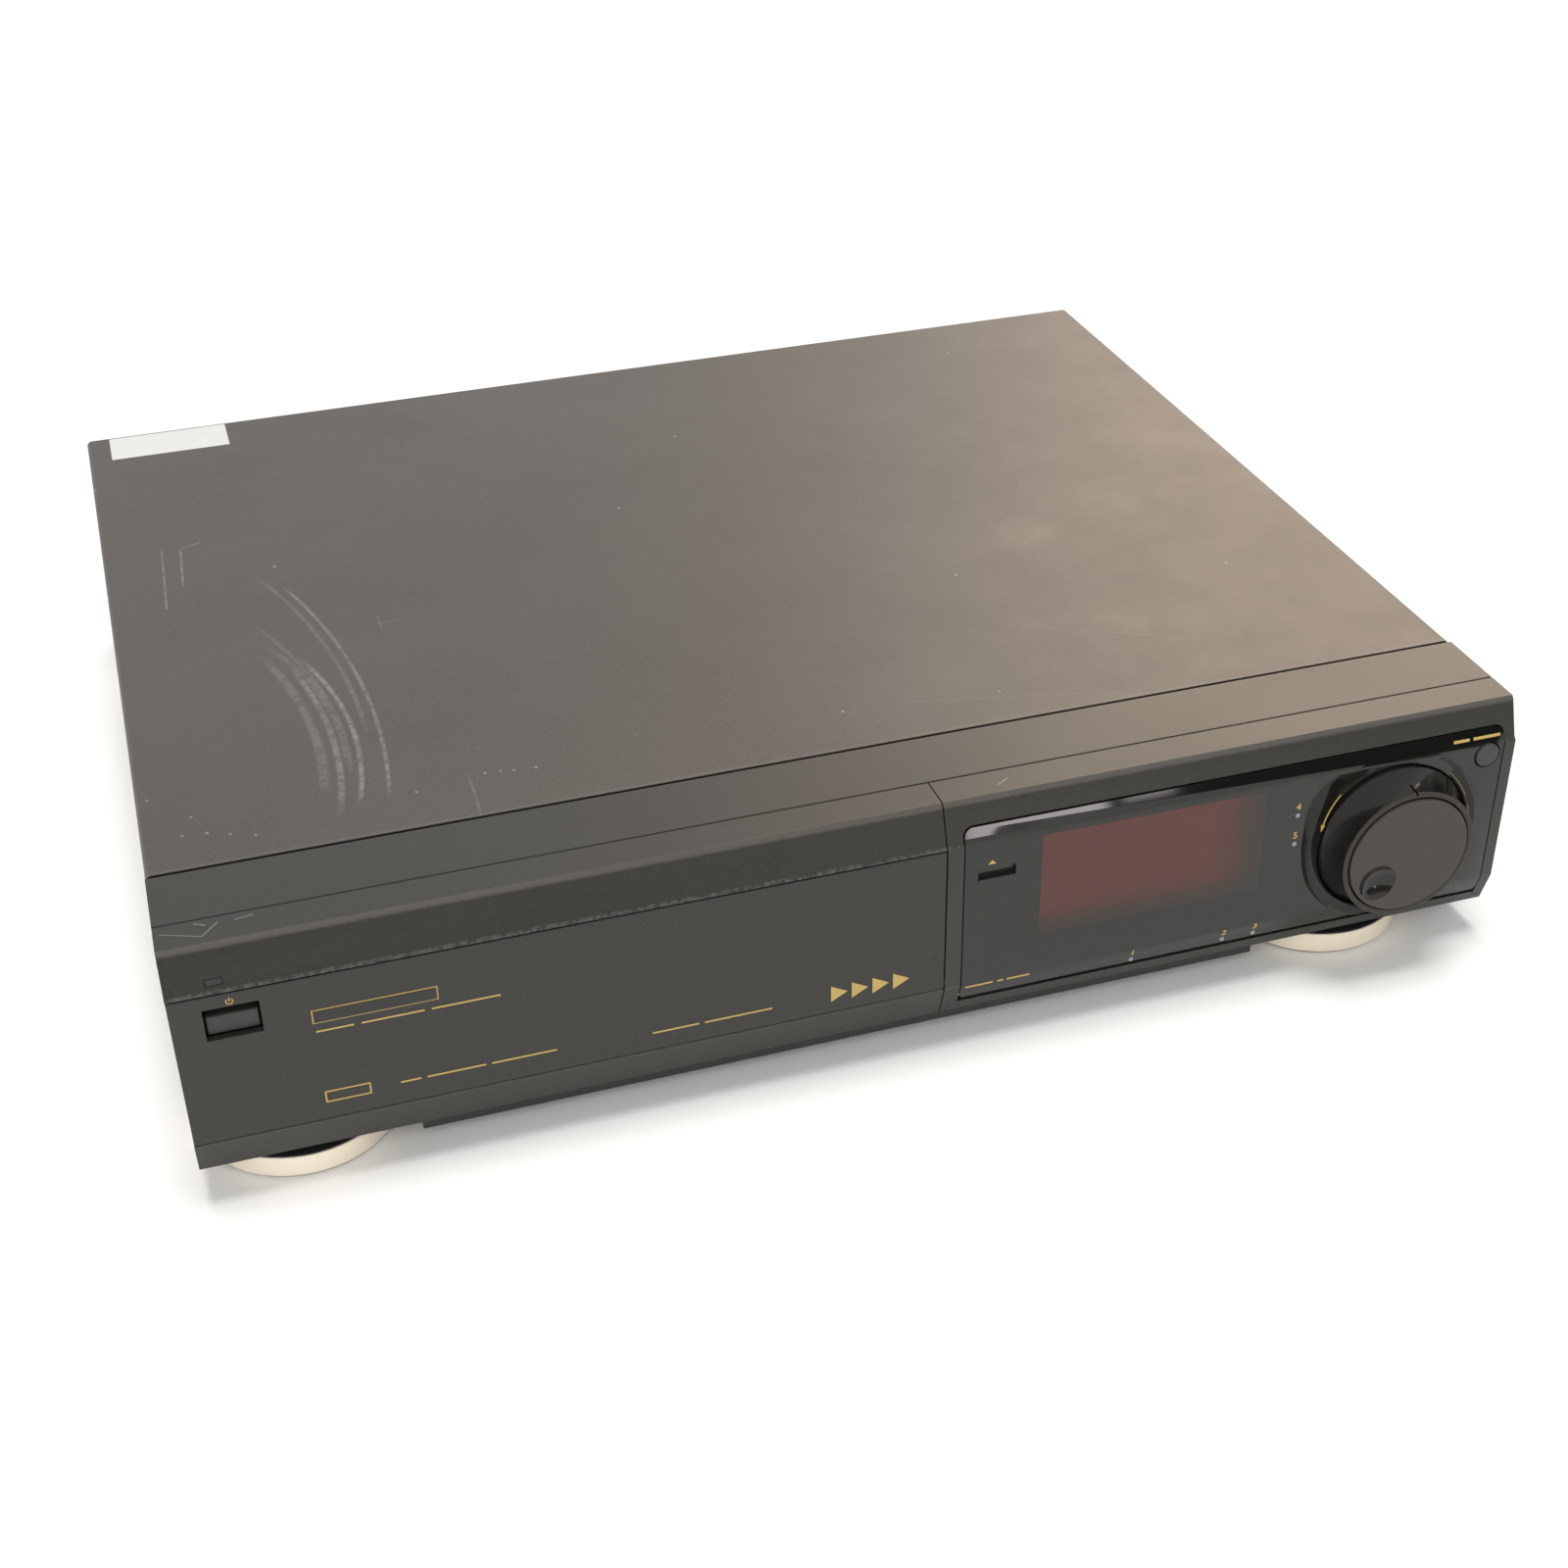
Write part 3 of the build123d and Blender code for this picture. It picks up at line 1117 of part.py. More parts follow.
with BuildPart() as capstan_bearing:
    upright(capstan_x, CAPSTAN_DEPTH, DECK_DROP - BUSH_HEIGHT, DECK_DROP, BUSH_RADIUS)
    upright(
        capstan_x,
        CAPSTAN_DEPTH,
        DECK_DROP - BUSH_HEIGHT,
        DECK_DROP,
        CAPSTAN_RADIUS + RUNNING,
        mode=Mode.SUBTRACT,
    )
save(capstan_bearing, "capstan_bearing")

arm_turn = math.radians(ARM_REST_ANGLE)
roller_x = arm_x + ARM_LENGTH * math.cos(arm_turn)
roller_depth = ARM_PIVOT[1] + ARM_LENGTH * math.sin(arm_turn)
roller_top = ARM_DROP - FIT - ROLLER_HEIGHT
with BuildPart() as pinch_arm:
    arm_middle = ((arm_x + roller_x) / 2, back((ARM_PIVOT[1] + roller_depth) / 2), down(ARM_DROP))
    arm_plane = Plane(
        origin=arm_middle, x_dir=(math.cos(arm_turn), math.sin(arm_turn), 0), z_dir=(0, 0, 1)
    )
    with BuildSketch(arm_plane) as arm_outline:
        SlotCenterToCenter(ARM_LENGTH, POST_RADIUS * 2)
    extrude(arm_outline.sketch, amount=-ARM_THICKNESS)
    upright(arm_x, ARM_PIVOT[1], ARM_DROP, table_bottom, POST_RADIUS)
    upright(roller_x, roller_depth, roller_top, ARM_DROP, CAPSTAN_RADIUS)
    upright(arm_x, ARM_PIVOT[1], ARM_DROP, table_bottom, REEL_SHAFT_RADIUS + RUNNING, mode=Mode.SUBTRACT)
save(pinch_arm, "pinch_arm")

with BuildPart() as pinch_roller:
    upright(roller_x, roller_depth, roller_top, ARM_DROP - FIT, ROLLER_RADIUS)
    upright(
        roller_x,
        roller_depth,
        roller_top,
        ARM_DROP - FIT,
        CAPSTAN_RADIUS + RUNNING,
        mode=Mode.SUBTRACT,
    )
save(pinch_roller, "pinch_roller")

# Loading guides, heads and loading motor
for side_name, x in zip(("left", "right"), guide_places):
    with BuildPart() as loading_guide:
        base_top = table_bottom - GUIDE_BASE[2]
        block(
            (x - GUIDE_BASE[0] / 2, x + GUIDE_BASE[0] / 2),
            (GUIDE_DEPTH - GUIDE_BASE[1] / 2, GUIDE_DEPTH + GUIDE_BASE[1] / 2),
            (base_top, table_bottom),
        )
        upright(x, GUIDE_DEPTH, table_bottom, DECK_UNDER + GUIDE_STEM_END, GUIDE_STEM_RADIUS)
        upright(x, GUIDE_DEPTH, GUIDE_TOP, base_top, GUIDE_POST_RADIUS)
    save(loading_guide, f"loading_guide_{side_name}")

for head_name, place in (("erase_head", ERASE_PLACE), ("audio_head", AUDIO_PLACE)):
    head_x = SLOT_X + place[0]
    with BuildPart() as tape_head:
        block(
            (head_x - HEAD_SIZE[0] / 2, head_x + HEAD_SIZE[0] / 2),
            (place[1] - HEAD_SIZE[1] / 2, place[1] + HEAD_SIZE[1] / 2),
            (DECK_DROP - HEAD_SIZE[2], DECK_DROP),
        )
        front_uprights = tape_head.edges().filter_by(Axis.Z).group_by(Axis.Y)[0]
        fillet(front_uprights, HEAD_SIZE[0] / 4)
    save(tape_head, head_name)

motor_drop = DECK_DROP - MOTOR_RADIUS - MOTOR_LIFT
motor_left = SLOT_X - DECK_HALF + POST_RADIUS * 3
with BuildPart() as loading_motor:
    along_width(MOTOR_DEPTH, motor_drop, motor_left, motor_left + MOTOR_LENGTH, MOTOR_RADIUS)
    along_width(
        MOTOR_DEPTH,
        motor_drop,
        motor_left + MOTOR_LENGTH,
        motor_left + MOTOR_LENGTH + MOTOR_RADIUS,
        CAPSTAN_RADIUS,
    )
    block(
        (motor_left, motor_left + MOTOR_BRACKET),
        (MOTOR_DEPTH - MOTOR_RADIUS / 2, MOTOR_DEPTH + MOTOR_RADIUS / 2),
        (motor_drop, DECK_DROP),
    )
save(loading_motor, "loading_motor")

# Cassette carriage: fixed side plates, the sliding carriage and the holder that drops in it
holder_half = CASSETTE[0] / 2 + CASSETTE_ROOM + HOLDER_SHEET
rail_half = holder_half + FIT + HOLDER_SHEET
plate_half = rail_half + FIT + HOLDER_SHEET
holder_rear = HOLDER_FRONT + CASSETTE[1] + CASSETTE_ROOM * 2
ledge_drop = HOLDER_TOP + HOLDER_SHEET + CASSETTE[2] + CASSETTE_ROOM
with BuildPart() as carriage_plates:
    for side in (-1, 1):
        block(
            (SLOT_X + side * (plate_half - HOLDER_SHEET), SLOT_X + side * plate_half),
            (PLATE_FRONT, PLATE_REAR),
            (PLATE_TOP, DECK_DROP),
        )
save(carriage_plates, "carriage_plates")

rail_top = HOLDER_TOP - HOLDER_SHEET * 3
with BuildPart() as carriage:
    for side in (-1, 1):
        block(
            (SLOT_X + side * (rail_half - HOLDER_SHEET), SLOT_X + side * rail_half),
            (HOLDER_FRONT, holder_rear),
            (rail_top, ledge_drop + HOLDER_TRAVEL - HOLDER_SHEET),
        )
    block(
        (SLOT_X - rail_half, SLOT_X + rail_half),
        (holder_rear - CROSS_BAR, holder_rear),
        (rail_top, rail_top + HOLDER_SHEET),
    )
save(carriage, "carriage")

with BuildPart() as cassette_holder:
    block(
        (SLOT_X - holder_half, SLOT_X + holder_half),
        (HOLDER_FRONT, holder_rear),
        (HOLDER_TOP, ledge_drop + HOLDER_SHEET),
    )
    block(
        (SLOT_X - holder_half + HOLDER_SHEET, SLOT_X + holder_half - HOLDER_SHEET),
        (HOLDER_FRONT, holder_rear),
        (HOLDER_TOP + HOLDER_SHEET, ledge_drop),
        mode=Mode.SUBTRACT,
    )
    block(
        (SLOT_X - holder_half + HOLDER_SHEET + LEDGE, SLOT_X + holder_half - HOLDER_SHEET - LEDGE),
        (HOLDER_FRONT, holder_rear),
        (ledge_drop, ledge_drop + HOLDER_SHEET),
        mode=Mode.SUBTRACT,
    )
save(cassette_holder, "cassette_holder")

# Main board with what stands on it, and the transformer
board_left = SPLIT_X + MAIN_BOARD_LEFT
board_right = RIGHT - MAIN_BOARD_RIGHT
board_rear = rear_inner - WALL
with BuildPart() as main_board:
    block(
        (board_left, board_right),
        (BOARD_FRONT, board_rear),
        (BOARD_TOP, BOARD_TOP + BOARD_SHEET),
    )
save(main_board, "main_board")

with BuildPart() as board_standoffs:
    for x in (board_left + POST_RADIUS * 2, board_right - POST_RADIUS * 2):
        for a in (BOARD_FRONT + POST_RADIUS * 2, board_rear - POST_RADIUS * 2):
            upright(x, a, BOARD_TOP + BOARD_SHEET, floor_drop(x), POST_RADIUS)
save(board_standoffs, "board_standoffs")

with BuildPart() as capacitors:
    for count in range(CAPACITOR_COUNT):
        row, column = divmod(count, CAPACITOR_COLUMNS)
        x = board_left + CAPACITOR_PITCH * (column + 1)
        a = BOARD_FRONT + CAPACITOR_PITCH * (row + 1)
        can_top = BOARD_TOP - CAPACITOR_HEIGHT + CAPACITOR_STEP * column
        upright(x, a, can_top, BOARD_TOP, CAPACITOR_RADIUS)
save(capacitors, "capacitors")

with BuildPart() as heat_sink:
    sink_x = (board_left + board_right) / 2
    block(
        (sink_x, sink_x + WALL),
        (SINK_DEPTH, SINK_DEPTH + SINK_LENGTH),
        (BOARD_TOP - SINK_HEIGHT, BOARD_TOP),
    )
    for count in range(SINK_FINS):
        fin_depth = SINK_DEPTH + count * (SINK_LENGTH - SHEET) / (SINK_FINS - 1)
        block(
            (sink_x + WALL, sink_x + WALL + SINK_FIN_REACH),
            (fin_depth, fin_depth + SHEET),
            (BOARD_TOP - SINK_HEIGHT, BOARD_TOP),
        )
save(heat_sink, "heat_sink")

with BuildPart() as transformer:
    core_left = LEFT + CORE_INSET
    core_x = core_left + CORE_SIZE[0] / 2
    core_depth = CORE_DEPTH + CORE_SIZE[1] / 2
    core_drop = FACE_HEIGHT - CORE_SIZE[2] / 2
    for width, deep, height in (CORE_SIZE, WINDING):
        block(
            (core_x - width / 2, core_x + width / 2),
            (core_depth - deep / 2, core_depth + deep / 2),
            (core_drop - height / 2, core_drop + height / 2),
        )
save(transformer, "transformer")
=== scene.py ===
"""A video cassette recorder with a jog dial and a shuttle ring, dressed over its CAD frame."""
import json
import math
import sys

import bmesh
import bpy
from bpy.props import FloatProperty, FloatVectorProperty, IntProperty, PointerProperty
from mathutils import Matrix, Vector
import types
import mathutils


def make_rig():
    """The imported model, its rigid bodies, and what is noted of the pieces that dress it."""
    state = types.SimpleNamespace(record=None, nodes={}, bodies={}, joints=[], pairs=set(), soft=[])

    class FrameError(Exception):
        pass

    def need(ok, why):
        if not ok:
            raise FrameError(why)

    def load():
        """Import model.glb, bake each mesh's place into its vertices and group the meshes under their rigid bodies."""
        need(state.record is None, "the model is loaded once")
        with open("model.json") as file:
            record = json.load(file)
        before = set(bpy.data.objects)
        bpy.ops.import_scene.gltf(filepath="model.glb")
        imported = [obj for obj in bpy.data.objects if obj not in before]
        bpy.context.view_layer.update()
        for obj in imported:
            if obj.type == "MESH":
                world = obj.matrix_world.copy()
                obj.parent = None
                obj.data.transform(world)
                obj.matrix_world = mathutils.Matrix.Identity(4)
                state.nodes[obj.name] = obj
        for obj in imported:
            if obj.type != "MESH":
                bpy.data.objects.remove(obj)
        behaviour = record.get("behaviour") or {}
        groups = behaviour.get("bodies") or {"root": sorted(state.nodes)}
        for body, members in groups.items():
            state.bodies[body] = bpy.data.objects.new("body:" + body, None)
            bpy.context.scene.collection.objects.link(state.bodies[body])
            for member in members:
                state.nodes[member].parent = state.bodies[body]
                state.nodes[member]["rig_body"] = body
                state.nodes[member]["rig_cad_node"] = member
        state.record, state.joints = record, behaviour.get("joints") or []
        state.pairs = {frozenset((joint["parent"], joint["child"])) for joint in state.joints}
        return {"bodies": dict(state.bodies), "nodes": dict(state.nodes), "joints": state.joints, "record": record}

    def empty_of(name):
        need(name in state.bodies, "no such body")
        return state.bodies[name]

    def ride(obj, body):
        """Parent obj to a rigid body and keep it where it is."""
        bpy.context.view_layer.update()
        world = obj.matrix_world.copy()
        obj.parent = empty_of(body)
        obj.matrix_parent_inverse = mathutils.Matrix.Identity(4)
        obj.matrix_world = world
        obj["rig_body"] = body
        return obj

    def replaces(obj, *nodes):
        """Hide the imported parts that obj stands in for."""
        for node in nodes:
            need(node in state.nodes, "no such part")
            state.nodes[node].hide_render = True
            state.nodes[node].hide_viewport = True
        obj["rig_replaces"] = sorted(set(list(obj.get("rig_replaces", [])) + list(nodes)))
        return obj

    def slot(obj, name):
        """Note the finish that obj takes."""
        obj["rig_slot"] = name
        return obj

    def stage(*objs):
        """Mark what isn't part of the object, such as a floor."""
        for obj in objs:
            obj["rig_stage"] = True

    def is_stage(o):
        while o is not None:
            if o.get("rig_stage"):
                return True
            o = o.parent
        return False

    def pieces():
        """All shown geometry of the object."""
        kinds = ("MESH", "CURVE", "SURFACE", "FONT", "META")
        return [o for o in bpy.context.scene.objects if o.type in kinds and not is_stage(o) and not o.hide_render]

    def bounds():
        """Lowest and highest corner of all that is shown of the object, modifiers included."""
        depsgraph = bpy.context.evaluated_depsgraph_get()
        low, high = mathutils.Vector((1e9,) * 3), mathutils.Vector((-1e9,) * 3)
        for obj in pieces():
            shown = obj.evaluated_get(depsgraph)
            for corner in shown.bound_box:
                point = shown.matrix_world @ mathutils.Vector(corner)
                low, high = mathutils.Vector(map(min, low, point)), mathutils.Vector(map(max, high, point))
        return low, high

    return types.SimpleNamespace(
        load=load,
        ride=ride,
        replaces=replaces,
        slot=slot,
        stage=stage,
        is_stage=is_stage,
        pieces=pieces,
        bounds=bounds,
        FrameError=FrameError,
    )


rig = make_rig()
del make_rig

bl_info = {
    "name": "Video Cassette Recorder",
    "version": (1, 0, 0),
    "blender": (4, 5, 0),
    "location": "View3D > Sidebar > Recorder",
    "description": "Builds the looks of a video cassette recorder around its CAD frame",
    "category": "Object",
}

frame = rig.load()
NODES = frame["nodes"]
LOW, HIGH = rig.bounds()
CAD_BOX = [list(LOW), list(HIGH)]
SIZE_FILE = "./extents.json"

MM = 0.001
MERGE = 0.002 * MM      # corners nearer than this become one
REACH = 17.8            # mm, the jog dial in front of the top front edge
DIAL = (172.6, 41.5)    # mm, the dial's axis: across, and below the top
DIMPLE = (162.4, 50.1)  # mm, the finger dimple in it: across, and below the top
FACE_REACH = 5.0        # mm, the upright face in front of the top front edge
SLOPE_END = 14.0        # mm, below the top, where the sloped band meets the upright face
CURL = (67.0, 79.0)     # mm, below the top: the strip under the face, which leans back
CURL_BACK = 4.0         # mm, how far it leans
MOUND_REACH = 7.4       # mm, the raised face round the dial
INK = 0.06              # mm, how proud the printed marks stand
LENSES = ((83.6, 72.0), (116.1, 71.5), (127.3, 71.5), (137.8, 26.6), (137.8, 37.6))  # mm, as for the dial
CAMERA_PLACE = (-0.1928, -0.7081, 0.4685)   # m
CAMERA_ANGLES = (-16.80, 32.86, -1.15)      # degrees: azimuth, elevation, roll


def place(across, depth, drop):
    """A point of the row frame from millimetres across, behind the top front edge and below the top."""
    return Vector((across * MM, LOW.y + (REACH + depth) * MM, HIGH.z - drop * MM))


def ahead(across, drop, reach):
    """The same from millimetres across, below the top and in front of the top front edge."""
    return place(across, -reach, drop)


def tint(name, description, default):
    """A colour among the settings."""
    return FloatVectorProperty(
        name=name, description=description, subtype="COLOR", default=default, min=0, max=1)


class CoverSettings(bpy.types.PropertyGroup):
    paint: tint("Paint", "Colour of the painted steel", (0.057, 0.050, 0.0435))
    grain: FloatProperty(
        name="Grain", description="Height of the grain in the paint", unit="LENGTH",
        default=0.00005, min=0, precision=6)
    wear: FloatProperty(
        name="Wear", description="How much the scratches and smudges show", subtype="FACTOR",
        default=1.0, min=0, max=1)


class FrontSettings(bpy.types.PropertyGroup):
    plastic: tint("Plastic", "Colour of the front and its flap", (0.025, 0.0245, 0.021))
    edge: FloatProperty(
        name="Edge", description="Rounding of the moulded edges", unit="LENGTH",
        default=0.00025, min=0, precision=5)
    print_gold: tint("Print", "Colour of the printed marks", (0.52, 0.36, 0.1))


class DoorSettings(bpy.types.PropertyGroup):
    gloss: tint("Gloss", "Colour of the glossy control door", (0.016, 0.0165, 0.0135))
    window: tint("Window", "Colour of the display window", (0.078, 0.018, 0.0125))


class DialSettings(bpy.types.PropertyGroup):
    ring: tint("Ring", "Colour of the shuttle ring", (0.010, 0.0095, 0.0085))
    face: tint("Dial", "Colour of the jog dial", (0.035, 0.030, 0.024))
    steps: IntProperty(
        name="Steps", description="Faces round the turned pieces", default=128, min=24, max=256)


class FootSettings(bpy.types.PropertyGroup):
    ring: tint("Ring", "Colour of the moulded foot rings", (0.86, 0.79, 0.66))


class StageSettings(bpy.types.PropertyGroup):
    floor: tint("Floor", "Colour of the floor", (0.97, 0.965, 0.955))
    lamp: FloatProperty(
        name="Lamp", description="Power of the warm light from a window", unit="POWER", default=40.0, min=0)
    fill: FloatProperty(
        name="Fill", description="Power of the soft light in front", unit="POWER", default=33.0, min=0)
    high: FloatProperty(
        name="High", description="Strength of the steep light of the short shadow", default=2.0, min=0)
    sky: FloatProperty(
        name="Sky", description="Strength of the even light from all round", default=0.42, min=0)
    lens: FloatProperty(
        name="Lens", description="Focal length of the camera", unit="CAMERA", default=52.05, min=1)


class RecorderSettings(bpy.types.PropertyGroup):
    cover: PointerProperty(type=CoverSettings)
    front: PointerProperty(type=FrontSettings)
    door: PointerProperty(type=DoorSettings)
    dial: PointerProperty(type=DialSettings)
    feet: PointerProperty(type=FootSettings)
    stage: PointerProperty(type=StageSettings)


def settings():
    return bpy.context.scene.recorder


def linked(name, data):
    """A new object with that data, put into the scene."""
    thing = bpy.data.objects.new(name, data)
    bpy.context.scene.collection.objects.link(thing)
    return thing


def evaluated(carrier, name):
    """The mesh that an object's modifiers make of it. The object itself is removed."""
    state = bpy.context.evaluated_depsgraph_get()
    result = bpy.data.meshes.new_from_object(carrier.evaluated_get(state))
    result.name = name
    bpy.data.objects.remove(carrier)
    return result


def meshed(shape, mesh):
    """Writes a bmesh into a mesh, or into a new one of that name, and frees it."""
    if isinstance(mesh, str):
        mesh = bpy.data.meshes.new(mesh)
    shape.to_mesh(mesh)
    shape.free()
    return mesh


def given(thing, **values):
    """A thing with some of its properties set."""
    for name, value in values.items():
        setattr(thing, name, value)
    return thing


def shade(colour, factor):
    """A colour made lighter or darker."""
    return [min(1, c * factor) for c in colour]


def length(x, y):
    """The straight distance that two others at right angles make."""
    return (x ** 2 + y ** 2) ** 0.5


def round_about(centre, radius, angle):
    """A place (across, below the top) round another, by degrees from the right and upwards."""
    turn = math.radians(angle)
    return centre[0] + radius * math.cos(turn), centre[1] - radius * math.sin(turn)


def corners(left, right, top, low):
    """A rectangle as an outline."""
    return [(left, top), (right, top), (right, low), (left, low)]


def using(operation, swapped=False):
    """A method of Link that adds one maths node; swapped puts the other value first."""
    def method(link, *others):
        return link.maths(operation, *((*others, link) if swapped else (link, *others)))
    return method


class Link:
    """One output socket, or a sum worked out from several. Operators on it add nodes to its tree."""

    def __init__(self, tree, socket):
        self.tree = tree
        self.socket = socket

    def __getitem__(self, name):
        return Link(self.tree, self.socket.node.outputs[name])

    def maths(self, operation, *values):
        links = [v for v in values if isinstance(v, Link)]
        if all(v.socket.type in ("VALUE", "INT", "BOOLEAN") for v in links):
            return self.tree.add("ShaderNodeMath", {"operation": operation}, values)
        wide = [v if isinstance(v, Link) or hasattr(v, "__len__") else (v, v, v) for v in values]
        return self.tree.add("ShaderNodeVectorMath", {"operation": operation}, wide)

    __add__, __radd__ = using("ADD"), using("ADD", True)
    __sub__, __rsub__ = using("SUBTRACT"), using("SUBTRACT", True)
    __mul__, __rmul__ = using("MULTIPLY"), using("MULTIPLY", True)
    __pow__ = using("POWER")
    __gt__ = using("GREATER_THAN")
    least, most, size = using("MINIMUM"), using("MAXIMUM"), using("ABSOLUTE")

    def rise(self, low, high):
        """0 below low, 1 above high and smooth between; low may be the larger."""
        steps = {"interpolation_type": "SMOOTHSTEP"}
        if low > high:
            return 1 - self.tree.add("ShaderNodeMapRange", steps, (self, high, low, 0, 1))
        return self.tree.add("ShaderNodeMapRange", steps, (self, low, high, 0, 1))


class Tree:
    """A node tree that is filled through one method."""

    def __init__(self, graph):
        self.graph = graph

    def add(self, kind, choices=None, values=(), out=0):
        """Adds a node: its settings first, then the values or links of its sockets."""
        node = given(self.graph.nodes.new(kind), **(choices or {}))
        pairs = values.items() if isinstance(values, dict) else enumerate(values)
        for key, value in pairs:
            socket = node.inputs[key]
            if isinstance(value, Link):
                self.graph.links.new(value.socket, socket)
            elif socket.type == "RGBA" and len(value) == 3:
                socket.default_value = (*value, 1)
            else:
                socket.default_value = value
        return Link(self, node.outputs[out]) if len(node.outputs) else node


class Paint(Tree):
    """A material in the making. Its lengths are millimetres, measured as the CAD's sizes are."""

    def __init__(self, name):
        self.material = bpy.data.materials.new(name)
        self.material.use_nodes = True
        super().__init__(self.material.node_tree)
        self.graph.nodes.clear()
        self.spot = self.add("ShaderNodeTexCoord", out="Object") * (1 / MM)
        split = self.add("ShaderNodeSeparateXYZ", values=(self.spot,))
        self.across = split["X"]
        self.depth = split["Y"] - (LOW.y / MM + REACH)
        self.drop = HIGH.z / MM - split["Z"]

    def noise(self, scale, detail=2.0, rough=0.5, stretch=(1, 1, 1)):
        """Noise from 0 to 1 whose features are about 1 / scale mm wide."""
        return self.add("ShaderNodeTexNoise", None, {
            "Vector": self.spot * stretch, "Scale": scale, "Detail": detail, "Roughness": rough})

    def cells(self, scale):
        """The distance to the nearest of scattered spots, about 1 / scale mm apart."""
        return self.add("ShaderNodeTexVoronoi", None, {"Vector": self.spot, "Scale": scale}, "Distance")

    def mix(self, share, first, second):
        """Two colours mixed by a share from 0 to 1."""
        return self.add("ShaderNodeMix", {"data_type": "RGBA"}, {0: share, 6: first, 7: second}, 2)

    def vary(self, share, colour, low, high):
        """A colour that goes from a darker to a lighter shade of itself."""
        return self.mix(share, shade(colour, low), shade(colour, high))

    def coats(self, tone, *coats):
        """A colour with others laid over it in turn, each by a share from 0 to 1."""
        for share, colour in coats:
            tone = self.mix(share, tone, colour)
        return tone

    def bump(self, height, distance, strength=1.0):
        """A normal from a height of 0 to 1 that stands for a distance in millimetres."""
        return self.add(
            "ShaderNodeBump", None, {"Height": height, "Distance": distance * MM, "Strength": strength})

    def surface(self, **values):
        """Ends the tree in a Principled shader. Names are its sockets with _ for a space."""
        shader = self.add("ShaderNodeBsdfPrincipled", None, {
            key.replace("_", " "): value for key, value in values.items()})
        self.add("ShaderNodeOutputMaterial", None, {"Surface": shader})
        return self.material

    def near(self, across, depth, radius, soft):
        """1 within a radius of a place seen from above, fading over a soft edge."""
        return length(self.across - across, self.depth - depth).rise(radius + soft, radius)

    def arc(self, centre, radius, span, width):
        """1 along an arc over the top, from its centre (across, depth), between two depths."""
        away = length(self.across - centre[0], self.depth - centre[1])
        ends = self.depth.rise(span[0] - 6, span[0] + 6) * self.depth.rise(span[1] + 8, span[1] - 8)
        return (away - radius).size().rise(width, width * 0.25) * ends

    def band(self, value, low, high, soft):
        """1 where a value lies between two limits, fading outside them."""
        return value.rise(low - soft, low) * value.rise(high + soft, high)

    def streak(self, start, end, width):
        """1 along a straight line over the top between two places (across, depth)."""
        dx, dy = end[0] - start[0], end[1] - start[1]
        px, py = self.across - start[0], self.depth - start[1]
        along = ((px * dx + py * dy) * (1 / (dx * dx + dy * dy))).most(0).least(1)
        return length(px - along * dx, py - along * dy).rise(width, width * 0.3)


def plain(paint, colour, rough, grain, scale, metal=0.0):
    """A moulded, turned or plated surface: its colour and gloss vary a little, over a fine grain."""
    clouds = paint.noise(0.05, 3)
    return paint.surface(
        Base_Color=paint.vary(clouds, colour, 0.88, 1.12), Roughness=clouds * 0.08 + (rough - 0.04),
        Metallic=metal, Normal=paint.bump(paint.noise(scale, 2), grain))


# The looks that plain makes: colour, roughness, height and scale of the grain, how metallic.
PLAIN = {
    "button_plastic": ((0.03, 0.03, 0.027), 0.42, 0.012, 2.5),
    "key_plastic": ((0.09, 0.088, 0.083), 0.4, 0.015, 2.5),
    "well_plastic": ((0.035, 0.035, 0.034), 0.45, 0.02, 2.0),
    "rear_paint": ((0.1, 0.098, 0.093), 0.42, 0.03, 2.2),
    "pan_black": ((0.012, 0.012, 0.012), 0.45, 0.01, 2.0),
    "pin_steel": ((0.7, 0.7, 0.72), 0.24, 0.004, 2.0, 1.0),
    "socket_black": ((0.022, 0.022, 0.022), 0.42, 0.015, 2.0),
    "socket_plated": ((0.72, 0.7, 0.66), 0.2, 0.003, 1.5, 1.0),
    "screw_black": ((0.035, 0.034, 0.033), 0.32, 0.008, 2.0, 0.6),
    "foot_core": ((0.02, 0.02, 0.02), 0.4, 0.02, 1.5),
    "foot_rubber": ((0.028, 0.028, 0.027), 0.7, 0.05, 1.2),
    "drum_aluminium": ((0.8, 0.8, 0.79), 0.22, 0.004, 1.2, 1.0),
    "bearing_brass": ((0.72, 0.52, 0.22), 0.26, 0.004, 1.2, 1.0),
    "head_metal": ((0.62, 0.62, 0.6), 0.22, 0.003, 1.0, 1.0),
    "capacitor_sleeve": ((0.02, 0.03, 0.09), 0.25, 0.01, 0.8),
    "reel_plastic": ((0.7, 0.69, 0.65), 0.38, 0.01, 1.5),
    "roller_rubber": ((0.03, 0.03, 0.03), 0.6, 0.02, 1.5),
    "guide_plastic": ((0.05, 0.05, 0.05), 0.42, 0.015, 1.5),
}


